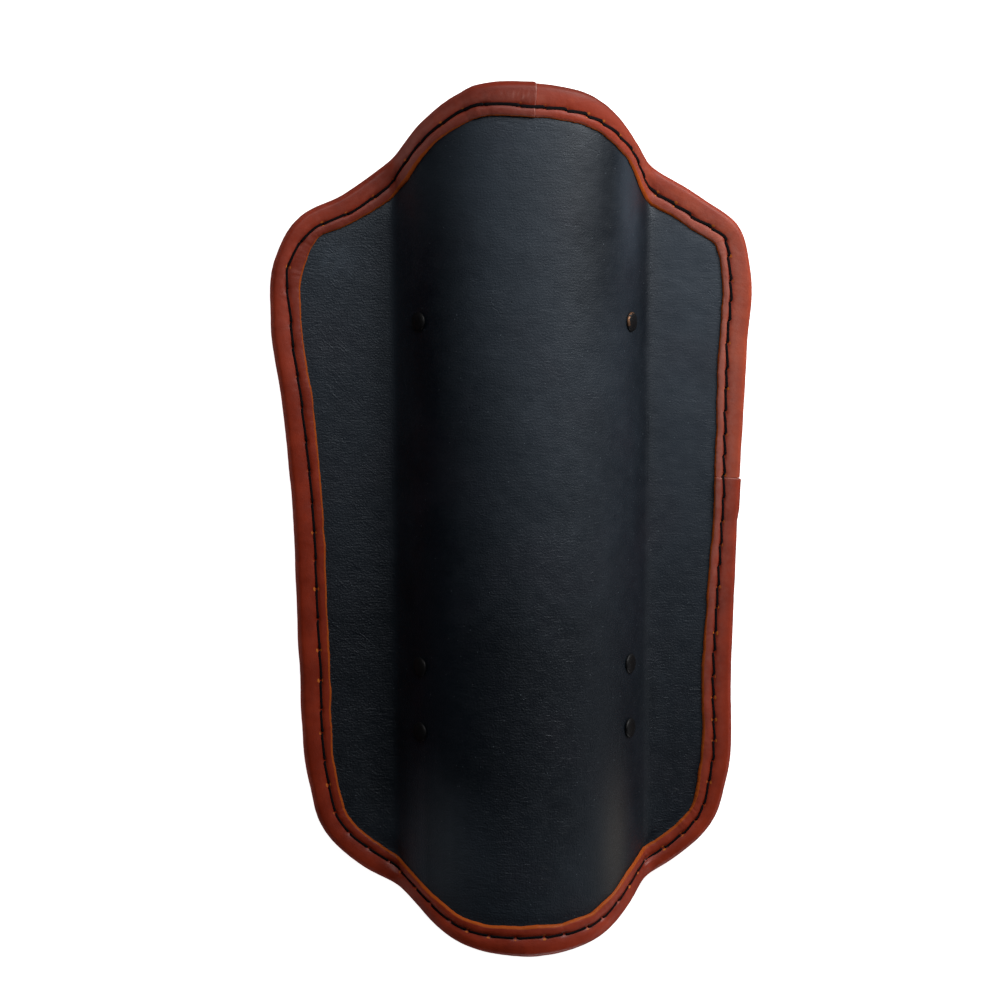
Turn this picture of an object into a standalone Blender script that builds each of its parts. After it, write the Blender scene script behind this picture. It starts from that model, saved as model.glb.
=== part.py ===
"""Hand pavise lying on its back, ridge up.

A moulded wooden board with a hollow round-topped ridge between two flat wings, faced with painted
canvas, bound round its rim with two strips of folded leather, and gripped by two leather straps that
six rivets hold. The board is worked out flat, as u across it, v along it and n out of its front face,
and then folded along the ridge, so every thickness and gap stays true on the curve.
"""
import math
from bisect import bisect_right
from collections import namedtuple

import bmesh
import bpy
from mathutils import Euler, Vector

MM = 0.001

# Board: the outline's reach from the ridge line and from mid length, along the unrolled front face
HALF_WIDTH = 210 * MM
HALF_LENGTH = 323.5 * MM
BOARD_THICKNESS = 8 * MM

# Ridge: a round top in flat facets, straight flanks, and a hollow fillet where each meets its wing
RIDGE_RADIUS = 98 * MM
RIDGE_HALF_ANGLE = math.radians(60)
FACETS_PER_SIDE = 5
FLANK_LENGTH = 21 * MM
FOOT_RADIUS = 10 * MM
FOOT_FOLDS = 4

# Canvas facing glued to the front
CANVAS_THICKNESS = 1.0 * MM

# Clearances between neighbouring solids: across their faces, and at the board's edge
GAP = 0.3 * MM
EDGE_GAP = 0.7 * MM

# Leather edge binding: how far it laps onto each face, its seam, and how plump it stands
BINDING_WIDTH = 19.5 * MM
LEATHER_THICKNESS = 1.6 * MM
SEAM_INSET = 11 * MM
GROOVE_WIDTH = 2.6 * MM
WELT_HEIGHT = 0.7 * MM
FRONT_ROLL = 3.4 * MM
BACK_ROLL = 4.5 * MM
EDGE_ROLL = 3.4 * MM
ROLL_WIDTH = 6.3 * MM
ROLL_INSET = 2.2 * MM
SHOULDER_SHARE = 0.4

# Laps of the binding: the short strip's ends are pared thin and lie under the main strip's ends.
# The top join's place is a length along the rim, clockwise from the ridge line
TOP_JOIN = 3 * MM
TONGUE_THICKNESS = 0.8 * MM
TOP_LAP = 45 * MM
SIDE_LAP = 22 * MM
SIDE_JOIN_HEIGHT = 28 * MM
PARING_LENGTH = 8 * MM
LAP_SLOPE = 10 * MM
LAP_CLEARANCE = 1.5 * MM

# Saddle-stitched seam thread
THREAD_RADIUS = 0.7 * MM
THREAD_RAMP = 4 * MM

# Rivets, centred on the outermost facet of the ridge top, and their washers
HEAD_RADIUS = 7.5 * MM
HEAD_HEIGHT = 2.8 * MM
SHANK_RADIUS = 2.0 * MM
TAIL_RADIUS = 3.4 * MM
TAIL_HEIGHT = 1.6 * MM
WASHER_RADIUS = 6.0 * MM
WASHER_THICKNESS = 1.0 * MM
RIVET_SIDES = 12

# Straps across the hollow behind the ridge. The hand strap has one row of rivets along its middle, the
# forearm strap one near each long edge
STRAP_THICKNESS = 4 * MM
HAND_STRAP_WIDTH = 35 * MM
HAND_STRAP_HEIGHT = 149.5 * MM
FOREARM_STRAP_WIDTH = 78 * MM
FOREARM_STRAP_HEIGHT = -137.5 * MM
FOREARM_RIVET_INSET = 14 * MM
STRAP_END = 15 * MM
STRAP_LEAVES_AT = 14 * MM
STRAP_CLEARANCE = 1.5 * MM
STRAP_BEND_FACETS = 6

# Outline of the board, clockwise from the top of the ridge, as shares of half width and half length
OUTLINE_SHARES = [
    (0.000, 0.992), (0.222, 0.969), (0.450, 0.885), (0.572, 0.830), (0.803, 0.743), (0.923, 0.683),
    (0.963, 0.581), (0.952, 0.402), (0.927, 0.015), (0.901, -0.386), (0.891, -0.634), (0.840, -0.743),
    (0.668, -0.842), (0.486, -0.897), (0.252, -0.980), (0.000, -1.004), (-0.263, -0.982),
    (-0.483, -0.905), (-0.687, -0.841), (-0.852, -0.739), (-0.897, -0.633), (-0.932, -0.340),
    (-0.954, 0.046), (-0.986, 0.263), (-1.025, 0.464), (-1.013, 0.597), (-0.934, 0.697),
    (-0.764, 0.754), (-0.566, 0.845), (-0.392, 0.927), (-0.214, 0.984),
]
TURN_PER_STEP = math.radians(7)

CANVAS_TOP = GAP + CANVAS_THICKNESS
REST_DEPTH = BOARD_THICKNESS + GAP + BACK_ROLL
LAP_LIFT = TONGUE_THICKNESS + GAP
STRAP_TOP = -(BOARD_THICKNESS + GAP)
STRAP_BOTTOM = STRAP_TOP - STRAP_THICKNESS
FOREARM_RIVET_REACH = FOREARM_STRAP_WIDTH / 2 - FOREARM_RIVET_INSET
RIVET_ROWS = {
    "upper": HAND_STRAP_HEIGHT,
    "middle": FOREARM_STRAP_HEIGHT + FOREARM_RIVET_REACH,
    "lower": FOREARM_STRAP_HEIGHT - FOREARM_RIVET_REACH,
}

Rim = namedtuple("Rim", "points mitres lengths total")
Leather = namedtuple("Leather", "lift thickness welt front_roll back_level edge_roll corner")


def clear_scene():
    for obj in list(bpy.data.objects):
        bpy.data.objects.remove(obj, do_unlink=True)


def make_collection(name):
    collection = bpy.data.collections.new(name)
    bpy.context.scene.collection.children.link(collection)
    return collection


def make_material(name, color, roughness, metallic=0.0):
    material = bpy.data.materials.new(name)
    material.use_nodes = True
    shader = material.node_tree.nodes["Principled BSDF"]
    shader.inputs["Base Color"].default_value = (*color, 1.0)
    shader.inputs["Roughness"].default_value = roughness
    shader.inputs["Metallic"].default_value = metallic
    return material


def left_normal(direction):
    return Vector((-direction.y, direction.x)).normalized()


def mitre_vectors(points, closed):
    """At each point, the vector to its left that moves both neighbouring edges out by one unit."""
    count = len(points)
    vectors = []
    for i, here in enumerate(points):
        before = points[i - 1] if closed or i > 0 else None
        after = points[(i + 1) % count] if closed or i < count - 1 else None
        sides = []
        if before is not None:
            sides.append(left_normal(here - before))
        if after is not None:
            sides.append(left_normal(after - here))
        if len(sides) == 1:
            vectors.append(sides[0])
        else:
            vectors.append((sides[0] + sides[1]) / (1 + sides[0].dot(sides[1])))
    return vectors


def ridge_half():
    """Fold lines of the right half, from the crest outwards, as distance along the face and (x, z)."""
    facet_angle = RIDGE_HALF_ANGLE / FACETS_PER_SIDE
    facet = 2 * RIDGE_RADIUS * math.tan(facet_angle / 2)
    fold_angle = RIDGE_HALF_ANGLE / FOOT_FOLDS
    half_step = FOOT_RADIUS * math.tan(fold_angle / 2)
    trimmed = FOOT_RADIUS * math.tan(RIDGE_HALF_ANGLE / 2)
    runs = [(facet, facet_angle * (k + 0.5)) for k in range(FACETS_PER_SIDE)]
    runs.append((FLANK_LENGTH - trimmed + half_step, RIDGE_HALF_ANGLE))
    runs += [(2 * half_step, RIDGE_HALF_ANGLE - fold_angle * k) for k in range(1, FOOT_FOLDS)]
    runs.append((2 * HALF_WIDTH, 0.0))
    distances, points = [0.0], [Vector((0.0, 0.0))]
    for length, slope in runs:
        distances.append(distances[-1] + length)
        points.append(points[-1] + length * Vector((math.cos(slope), -math.sin(slope))))
    wing = points[-1].y
    return distances, [Vector((p.x, p.y - wing + REST_DEPTH)) for p in points]


def ridge_profile():
    distances, points = ridge_half()
    across = [-u for u in reversed(distances)] + distances[1:]
    shape = [Vector((-p.x, p.y)) for p in reversed(points)] + points[1:]
    return across, shape, mitre_vectors(shape, closed=False)


FOLD_U, FOLD_POINTS, FOLD_MITRES = ridge_profile()
RIVET_U = (2 * FACETS_PER_SIDE - 1) * RIDGE_RADIUS * math.tan(RIDGE_HALF_ANGLE / FACETS_PER_SIDE / 2)
RIVET_SLOPE = RIDGE_HALF_ANGLE * (1 - 0.5 / FACETS_PER_SIDE)


def fold_point(u, v, n):
    """The place of a flat point once the board is folded: across, along and up."""
    i = min(max(bisect_right(FOLD_U, u) - 1, 0), len(FOLD_U) - 2)
    share = (u - FOLD_U[i]) / (FOLD_U[i + 1] - FOLD_U[i])
    face = FOLD_POINTS[i].lerp(FOLD_POINTS[i + 1], share)
    out = FOLD_MITRES[i].lerp(FOLD_MITRES[i + 1], share)
    return Vector((face.x + n * out.x, v, face.y + n * out.y))


def fold_mesh(bm):
    """Cut a flat mesh along every fold line, so that it bends only there, and fold it."""
    bm.normal_update()
    ends = [face for face in bm.faces if len(face.verts) > 4 and not is_level(face)]
    bmesh.ops.triangulate(bm, faces=ends)
    for u in FOLD_U[1:-1]:
        geometry = bm.verts[:] + bm.edges[:] + bm.faces[:]
        bmesh.ops.bisect_plane(bm, geom=geometry, dist=GAP / 30, plane_co=(u, 0, 0), plane_no=(1, 0, 0))
    for vert in bm.verts:
        vert.co = fold_point(*vert.co)
    bm.normal_update()
    bmesh.ops.triangulate(bm, faces=bm.faces[:])
    bmesh.ops.recalc_face_normals(bm, faces=bm.faces[:])


def is_level(face):
    heights = [v.co.z for v in face.verts]
    return max(heights) - min(heights) < GAP / 300


def add_mesh_object(name, bm, material, collection, parent):
    mesh = bpy.data.meshes.new(name)
    bm.to_mesh(mesh)
    bm.free()
    mesh.materials.append(material)
    obj = bpy.data.objects.new(name, mesh)
    obj.parent = parent
    collection.objects.link(obj)
    return obj


def curve_to_bmesh(curve, collection):
    """A curve's evaluated mesh with its caps welded on; the curve itself is removed."""
    obj = bpy.data.objects.new(curve.name, curve)
    collection.objects.link(obj)
    bpy.context.view_layer.update()
    depsgraph = bpy.context.evaluated_depsgraph_get()
    mesh = bpy.data.meshes.new_from_object(obj.evaluated_get(depsgraph))
    bm = bmesh.new()
    bm.from_mesh(mesh)
    bmesh.ops.remove_doubles(bm, verts=bm.verts[:], dist=GAP / 30)
    bpy.data.objects.remove(obj)
    bpy.data.meshes.remove(mesh)
    return bm


def closed_spline(curve, points):
    spline = curve.splines.new("POLY")
    spline.points.add(len(points) - 1)
    for slot, point in zip(spline.points, points):
        slot.co = (*point, 1.0)
    spline.use_cyclic_u = True


def outline_tangent(before, here, after):
    back, ahead = here - before, after - here
    return (back / back.length * ahead.length + ahead / ahead.length * back.length).normalized()


def board_rim():
    """The smooth closed outline through the chosen points, with its mitres and running lengths."""
    knots = [Vector((u * HALF_WIDTH, v * HALF_LENGTH)) for u, v in OUTLINE_SHARES]
    count = len(knots)
    tangents = [outline_tangent(knots[i - 1], knots[i], knots[(i + 1) % count]) for i in range(count)]
    points = []
    for i, start in enumerate(knots):
        end = knots[(i + 1) % count]
        out, back = tangents[i], tangents[(i + 1) % count]
        chord = (end - start).length
        steps = max(1, round(out.angle(back) / TURN_PER_STEP))
        for k in range(steps):
            t = k / steps
            points.append(
                start * (2 * t**3 - 3 * t**2 + 1) + out * chord * (t**3 - 2 * t**2 + t)
                + end * (3 * t**2 - 2 * t**3) + back * chord * (t**3 - t**2))
    lengths = [0.0]
    for i, point in enumerate(points):
        lengths.append(lengths[-1] + (points[(i + 1) % len(points)] - point).length)
    return Rim(points, mitre_vectors(points, closed=True), lengths[:-1], lengths[-1])


def rim_point(rim, length, offset):
    """Flat point at a length along the rim, moved outwards by offset."""
    length %= rim.total
    i = bisect_right(rim.lengths, length) - 1
    j = (i + 1) % len(rim.points)
    span = (rim.lengths[j] if j else rim.total) - rim.lengths[i]
    share = (length - rim.lengths[i]) / span
    return rim.points[i].lerp(rim.points[j], share) + offset * rim.mitres[i].lerp(rim.mitres[j], share)


def side_join_length(rim):
    """Length along the rim, clockwise from the top, at which the right side passes the join height."""
    for i in range(len(rim.points) - 1):
        high, low = rim.points[i].y, rim.points[i + 1].y
        if high > SIDE_JOIN_HEIGHT >= low:
            share = (high - SIDE_JOIN_HEIGHT) / (high - low)
            return rim.lengths[i] + share * (rim.lengths[i + 1] - rim.lengths[i])
    return rim.total / 4


def flat_sheet(name, rim, lowest, highest, collection):
    """The board's outline as a flat slab between two heights, with one face above and one below."""
    curve = bpy.data.curves.new(name, "CURVE")
    curve.dimensions = "2D"
    curve.fill_mode = "BOTH"
    curve.extrude = (highest - lowest) / 2
    closed_spline(curve, [(p.x, p.y, 0.0) for p in rim.points])
    bm = curve_to_bmesh(curve, collection)
    for vert in bm.verts:
        vert.co.z += (highest + lowest) / 2
    bmesh.ops.dissolve_limit(bm, angle_limit=math.radians(0.1), verts=bm.verts[:], edges=bm.edges[:])
    return bm


def plain_leather():
    return Leather(0.0, LEATHER_THICKNESS, WELT_HEIGHT, FRONT_ROLL, -REST_DEPTH, EDGE_ROLL, 0.6)


def lapping_leather():
    return Leather(LAP_LIFT, LEATHER_THICKNESS, WELT_HEIGHT, FRONT_ROLL, -REST_DEPTH, EDGE_ROLL, 0.6)


def tongue_leather():
    thin = TONGUE_THICKNESS
    return Leather(0.0, thin, 0.0, thin, -(BOARD_THICKNESS + GAP + thin), thin, 1.0)


def leather_section(leather):
    """Closed section of the folded strip, as (distance out from the board's edge, height)."""
    front = CANVAS_TOP + GAP + leather.lift
    back = -(BOARD_THICKNESS + GAP + leather.lift)
    edge = EDGE_GAP + leather.lift
    front_groove, back_groove = front + leather.thickness, back - leather.thickness
    front_top, back_low = front + leather.front_roll, leather.back_level
    seam_in, seam_out = -SEAM_INSET - GROOVE_WIDTH / 2, -SEAM_INSET + GROOVE_WIDTH / 2
    welt = (seam_in - BINDING_WIDTH) / 2 + GROOVE_WIDTH / 4
    roll_in, roll_out = -ROLL_INSET - ROLL_WIDTH, -ROLL_INSET
    shoulder = edge + leather.edge_roll * leather.corner
    drop = (1 - leather.corner) * (front_top - back_low) * SHOULDER_SHARE + GAP / 2
    return [
        (-BINDING_WIDTH, front), (edge, front), (edge, back), (-BINDING_WIDTH, back),
        (-BINDING_WIDTH, back_groove), (welt, back_groove - leather.welt),
        (seam_in, back_groove), (seam_out, back_groove),
        (roll_in, back_low), (roll_out, back_low), (shoulder, back_low + drop),
        (edge + leather.edge_roll, (front_top + back_low) / 2),
        (shoulder, front_top - drop), (roll_out, front_top), (roll_in, front_top),
        (seam_out, front_groove), (seam_in, front_groove),
        (welt, front_groove + leather.welt), (-BINDING_WIDTH, front_groove),
    ]


def keyed_section(keys, length):
    """The section at a length, blended between the sections given at key lengths."""
    for (start, first), (end, second) in zip(keys, keys[1:]):
        if start <= length <= end:
            share = (length - start) / (end - start)
            pairs = zip(leather_section(first), leather_section(second))
            return [(a[0] + (b[0] - a[0]) * share, a[1] + (b[1] - a[1]) * share) for a, b in pairs]
    return leather_section(keys[-1][1])


def strip_lengths(rim, keys):
    """Every rim point and key between a strip's ends, leaving out rim points crowded by a key."""
    ends = [length for length, _ in keys]
    found = list(ends)
    for turn in (-1, 0, 1):
        for length in rim.lengths:
            length += turn * rim.total
            if ends[0] < length < ends[-1] and min(abs(length - key) for key in ends) > GAP:
                found.append(length)
    return sorted(found)


def loft_strip(rim, keys):
    """A leather strip along the rim: its section changes where it is pared or lifted, so it is lofted."""
    bm = bmesh.new()
    rings = []
    for length in strip_lengths(rim, keys):
        ring = []
        for offset, height in keyed_section(keys, length):
            flat = rim_point(rim, length, offset)
            ring.append(bm.verts.new((flat.x, flat.y, height)))
        rings.append(ring)
    size = len(rings[0])
    for first, second in zip(rings, rings[1:]):
        for i in range(size):
            j = (i + 1) % size
            bm.faces.new((first[i], first[j], second[j], second[i]))
    bm.faces.new(rings[0])
    bm.faces.new(list(reversed(rings[-1])))
    return bm


def short_strip_keys(join):
    plain, tongue = plain_leather(), tongue_leather()
    shown = TOP_JOIN + EDGE_GAP
    return [
        (TOP_JOIN - TOP_LAP, tongue), (shown, tongue), (shown + PARING_LENGTH, plain),
        (join - EDGE_GAP - PARING_LENGTH, plain), (join - EDGE_GAP, tongue), (join + SIDE_LAP, tongue),
    ]


def main_strip_keys(rim, join):
    plain, lapping = plain_leather(), lapping_leather()
    side_end = join + SIDE_LAP + LAP_CLEARANCE
    end = rim.total + TOP_JOIN
    top_end = end - TOP_LAP - LAP_CLEARANCE
    return [
        (join, lapping), (side_end, lapping), (side_end + LAP_SLOPE, plain),
        (top_end - LAP_SLOPE, plain), (top_end, lapping), (end, lapping),
    ]


def thread_rise(rim, keys, length):
    """How far the seam stands above its plain level: it ramps up onto each lap of the main strip."""
    start, end = keys[0][0], keys[-1][0]
    ramp = THREAD_RAMP
    steps = [
        (start - ramp - EDGE_GAP, 0.0), (start - EDGE_GAP, 1.0), (keys[1][0], 1.0), (keys[2][0], 0.0),
        (keys[3][0], 0.0), (keys[4][0], 1.0), (end + EDGE_GAP, 1.0), (end + EDGE_GAP + ramp, 0.0),
    ]
    for turn in (0.0, rim.total):
        here = length + turn
        for (low, first), (high, second) in zip(steps, steps[1:]):
            if low <= here <= high:
                return LAP_LIFT * (first + (second - first) * (here - low) / (high - low))
    return 0.0


def seam_thread(name, rim, keys, level, side, collection):
    """A closed thread lying in the groove of the binding, lifted where the strips lap."""
    marks = [keys[0][0] - THREAD_RAMP - EDGE_GAP, keys[0][0] - EDGE_GAP, keys[1][0], keys[2][0]]
    shown = TOP_JOIN + EDGE_GAP
    marks += [keys[3][0], keys[4][0], shown, shown + THREAD_RAMP]
    lengths = sorted(marks + [s for s in rim.lengths if min(abs(s - m) for m in marks) > 2 * THREAD_RADIUS])
    points = []
    for length in lengths:
        flat = rim_point(rim, length, -SEAM_INSET)
        points.append((flat.x, flat.y, level + side * thread_rise(rim, keys, length)))
    curve = bpy.data.curves.new(name, "CURVE")
    curve.dimensions = "3D"
    curve.bevel_depth = THREAD_RADIUS
    curve.bevel_resolution = 0
    closed_spline(curve, points)
    return curve_to_bmesh(curve, collection)


def turned(name, profile, material, collection, parent):
    """A profile of (radius, height), given top to bottom on its outer side, turned about its axis."""
    bm = bmesh.new()
    verts = [bm.verts.new((radius, 0.0, height)) for radius, height in profile]
    for first, second in zip(verts, verts[1:]):
        bm.edges.new((first, second))
    if profile[0][0] > 0.0:
        bm.edges.new((verts[-1], verts[0]))
    obj = add_mesh_object(name, bm, material, collection, parent)
    screw = obj.modifiers.new("turn", "SCREW")
    screw.steps = screw.render_steps = RIVET_SIDES
    screw.use_merge_vertices = True
    screw.merge_threshold = GAP / 30
    screw.use_smooth_shade = True
    return obj


def rivet_profile():
    """Domed head on the canvas, shank through everything, and a peened tail behind the washer."""
    seat = CANVAS_TOP + GAP
    tail_top = STRAP_BOTTOM - WASHER_THICKNESS - 2 * GAP
    dome = [(HEAD_RADIUS * math.sin(a), seat + HEAD_HEIGHT * (0.2 + 0.8 * math.cos(a)))
            for a in (math.pi / 2 * k / 4 for k in range(5))]
    return dome + [
        (HEAD_RADIUS, seat), (SHANK_RADIUS, seat), (SHANK_RADIUS, tail_top), (TAIL_RADIUS, tail_top),
        (TAIL_RADIUS * 0.8, tail_top - TAIL_HEIGHT * 0.7), (0.0, tail_top - TAIL_HEIGHT),
    ]


def washer_profile():
    top = STRAP_BOTTOM - GAP
    bottom = top - WASHER_THICKNESS
    hole = SHANK_RADIUS + GAP
    return [(hole, top), (WASHER_RADIUS, top), (WASHER_RADIUS, bottom), (hole, bottom)]


def place_on_facet(obj, side, height):
    """Stand a turned piece on the ridge's outermost facet, its axis along the facet's normal."""
    obj.location = fold_point(side * RIVET_U, height, 0.0)
    obj.rotation_euler = Euler((0.0, side * RIVET_SLOPE, 0.0))


def hole_cutter(name, side, height, collection, parent):
    """Cylinder that drills canvas, board and strap for one shank."""
    depth = (CANVAS_TOP - STRAP_BOTTOM) * 1.4
    bm = bmesh.new()
    bmesh.ops.create_cone(
        bm, cap_ends=True, segments=RIVET_SIDES, radius1=SHANK_RADIUS + GAP,
        radius2=SHANK_RADIUS + GAP, depth=depth)
    for vert in bm.verts:
        vert.co.z += (CANVAS_TOP + STRAP_BOTTOM) / 2
    mesh = bpy.data.meshes.new(name)
    bm.to_mesh(mesh)
    bm.free()
    cutter = bpy.data.objects.new(name, mesh)
    cutter.parent = parent
    cutter.hide_render = True
    cutter.display_type = "WIRE"
    collection.objects.link(cutter)
    place_on_facet(cutter, side, height)


def drill(obj, cutters):
    cut = obj.modifiers.new("rivet_holes", "BOOLEAN")
    cut.operation = "DIFFERENCE"
    cut.solver = "EXACT"
    cut.operand_type = "COLLECTION"
    cut.collection = cutters


def strap_centre_line():
    """Half of a strap's middle, seen end on: down the inner flank, round a bend and level across."""
    middle = STRAP_TOP - STRAP_THICKNESS / 2
    leaves = RIVET_U + STRAP_LEAVES_AT
    stops = [RIVET_U - STRAP_END] + [u for u in FOLD_U if RIVET_U - STRAP_END < u < leaves] + [leaves]
    places = [fold_point(u, 0.0, middle) for u in stops]
    line = [Vector((p.x, p.z)) for p in places]
    level = STRAP_CLEARANCE + STRAP_THICKNESS / 2
    turn = math.pi - RIDGE_HALF_ANGLE
    radius = (line[-1].y - level) / (1 + math.cos(RIDGE_HALF_ANGLE))
    centre = line[-1] + radius * Vector((-math.sin(RIDGE_HALF_ANGLE), -math.cos(RIDGE_HALF_ANGLE)))
    for k in range(1, STRAP_BEND_FACETS + 1):
        angle = math.pi / 2 - RIDGE_HALF_ANGLE - turn * k / STRAP_BEND_FACETS
        line.append(centre + radius * Vector((math.cos(angle), math.sin(angle))))
    return line


def make_strap(name, height, width, material, collection, parent):
    """A strap as its side outline, extruded along the shield by its width."""
    half = strap_centre_line()
    line = half + [Vector((-p.x, p.y)) for p in reversed(half)]
    mitres = mitre_vectors(line, closed=False)
    half_thickness = STRAP_THICKNESS / 2
    outline = [p + m * half_thickness for p, m in zip(line, mitres)]
    outline += [p - m * half_thickness for p, m in reversed(list(zip(line, mitres)))]
    curve = bpy.data.curves.new(name, "CURVE")
    curve.dimensions = "2D"
    curve.fill_mode = "BOTH"
    curve.extrude = width / 2
    closed_spline(curve, [(p.x, p.y, 0.0) for p in outline])
    bm = curve_to_bmesh(curve, collection)
    bmesh.ops.dissolve_limit(bm, angle_limit=math.radians(0.1), verts=bm.verts[:], edges=bm.edges[:])
    bmesh.ops.recalc_face_normals(bm, faces=bm.faces[:])
    obj = add_mesh_object(name, bm, material, collection, parent)
    obj.rotation_euler = Euler((math.pi / 2, 0.0, 0.0))
    obj.location = (0.0, height, 0.0)
    return obj


def make_rivets(materials, pieces, cutters, parent):
    for row, height in RIVET_ROWS.items():
        for label, side in (("left", -1), ("right", 1)):
            rivet = turned(f"rivet_{row}_{label}", rivet_profile(), materials["iron"], pieces, parent)
            washer = turned(f"washer_{row}_{label}", washer_profile(), materials["steel"], pieces, parent)
            place_on_facet(rivet, side, height)
            place_on_facet(washer, side, height)
            hole_cutter(f"hole_{row}_{label}", side, height, cutters, parent)


def make_sheets(rim, materials, pieces, cutters, parent):
    board = flat_sheet("board", rim, -BOARD_THICKNESS, 0.0, pieces)
    canvas = flat_sheet("canvas_facing", rim, GAP, CANVAS_TOP, pieces)
    for name, bm, material in (("board", board, "wood"), ("canvas_facing", canvas, "canvas")):
        fold_mesh(bm)
        drill(add_mesh_object(name, bm, materials[material], pieces, parent), cutters)


def make_binding(rim, materials, pieces, parent):
    """The two strips and the seam; returns the strips, which give the shield its plan."""
    join = side_join_length(rim)
    main_keys = main_strip_keys(rim, join)
    strips = []
    for name, keys, material in (
            ("edge_binding_main", main_keys, "leather"),
            ("edge_binding_short", short_strip_keys(join), "pale_leather")):
        bm = loft_strip(rim, keys)
        fold_mesh(bm)
        strips.append(add_mesh_object(name, bm, materials[material], pieces, parent))
    stand_off = GAP + THREAD_RADIUS
    front = CANVAS_TOP + GAP + LEATHER_THICKNESS + stand_off
    back = -(BOARD_THICKNESS + GAP + LEATHER_THICKNESS + stand_off)
    for name, level, side in (("seam_thread_front", front, 1), ("seam_thread_back", back, -1)):
        bm = seam_thread(name, rim, main_keys, level, side, pieces)
        fold_mesh(bm)
        add_mesh_object(name, bm, materials["thread"], pieces, parent)
    return strips


def centre_in_plan(strips, parent):
    """Put the middle of the binding's plan over the origin; the underside is already at height 0."""
    across = [v.co.x for strip in strips for v in strip.data.vertices]
    along = [v.co.y for strip in strips for v in strip.data.vertices]
    parent.location = (-(min(across) + max(across)) / 2, -(min(along) + max(along)) / 2, 0.0)


def main():
    clear_scene()
    pieces = make_collection("pavise")
    cutters = make_collection("cutters")
    parent = bpy.data.objects.new("pavise_frame", None)
    pieces.objects.link(parent)
    materials = {
        "wood": make_material("black_painted_wood", (0.02, 0.018, 0.016), 0.6),
        "canvas": make_material("black_painted_canvas", (0.012, 0.013, 0.014), 0.7),
        "leather": make_material("red_brown_leather", (0.19, 0.03, 0.02), 0.5),
        "pale_leather": make_material("orange_brown_leather", (0.3, 0.06, 0.03), 0.5),
        "strap": make_material("brown_strap_leather", (0.12, 0.05, 0.025), 0.55),
        "thread": make_material("black_waxed_thread", (0.01, 0.01, 0.01), 0.6),
        "iron": make_material("black_painted_iron", (0.015, 0.015, 0.015), 0.4, 0.5),
        "steel": make_material("plain_steel", (0.4, 0.38, 0.36), 0.4, 1.0),
    }
    rim = board_rim()
    make_sheets(rim, materials, pieces, cutters, parent)
    strips = make_binding(rim, materials, pieces, parent)
    make_rivets(materials, pieces, cutters, parent)
    for name, height, width in (
            ("hand_strap", HAND_STRAP_HEIGHT, HAND_STRAP_WIDTH),
            ("forearm_strap", FOREARM_STRAP_HEIGHT, FOREARM_STRAP_WIDTH)):
        drill(make_strap(name, height, width, materials["strap"], pieces, parent), cutters)
    centre_in_plan(strips, parent)


main()
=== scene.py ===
# %% [markdown]
# # A hand pavise in leather, canvas and wood
#
# A pavise is a shield with a hollow ridge down its middle, so that it stands off the arm behind it.
# This one is hand made: a moulded board, canvas glued to its front and painted black, a leather binding
# sewn round its rim, and two straps held by six rivets. The solids that come with it already have the
# true sizes. This lesson gives each piece the fine surface that the eye expects, as arrays of points.

import functools
import math

import bpy
import numpy as np
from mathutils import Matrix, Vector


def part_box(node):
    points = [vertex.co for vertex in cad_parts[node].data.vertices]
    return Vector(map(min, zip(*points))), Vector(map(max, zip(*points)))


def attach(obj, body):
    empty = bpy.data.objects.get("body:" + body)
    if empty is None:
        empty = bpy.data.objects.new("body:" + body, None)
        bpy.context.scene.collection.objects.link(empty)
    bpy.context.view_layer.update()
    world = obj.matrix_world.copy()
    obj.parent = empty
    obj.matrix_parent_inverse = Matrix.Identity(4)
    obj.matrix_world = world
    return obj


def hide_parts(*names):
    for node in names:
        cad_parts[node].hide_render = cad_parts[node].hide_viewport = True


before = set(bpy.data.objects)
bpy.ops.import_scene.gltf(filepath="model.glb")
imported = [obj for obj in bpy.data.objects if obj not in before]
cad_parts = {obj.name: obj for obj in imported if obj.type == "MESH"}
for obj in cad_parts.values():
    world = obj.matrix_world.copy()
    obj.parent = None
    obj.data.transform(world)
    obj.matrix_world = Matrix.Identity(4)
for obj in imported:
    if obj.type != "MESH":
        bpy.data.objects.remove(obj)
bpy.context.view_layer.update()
MM = 0.001

# %% [markdown]
# ## The camera
#
# The shield lies on its back, so the camera hangs over it and looks down, a little from the side and
# from above the shield's top. A long lens keeps the ridge from bulging. The picture is taken as
# 1000 by 1000 pixels, and the small lens shift puts the ridge where a photographer framed it.

# %% Camera above the shield
VIEW_DISTANCE = 1.8
VIEW_YAW = math.radians(6.5)
VIEW_PITCH = math.radians(5.0)
PICTURE_PIXELS = 1000
PIXEL_SIZE = 0.766 * MM
SENSOR_WIDTH = 36.0
AIM_PIXEL = (524, 519)
AIM_HEIGHT = 30 * MM


def unit(vectors):
    """Each vector over its own length."""
    return vectors / np.linalg.norm(vectors, axis=-1, keepdims=True)


def put_in_scene(name, data, axes=None, place=None):
    """Make an object; where its three axes are given, they are the columns of its turn."""
    made = bpy.data.objects.new(name, data)
    bpy.context.scene.collection.objects.link(made)
    if axes is not None:
        turn = np.eye(4)
        turn[:3, :3], turn[:3, 3] = np.stack(axes, axis=1), place
        made.matrix_world = turn.T.tolist()
    return made


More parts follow.
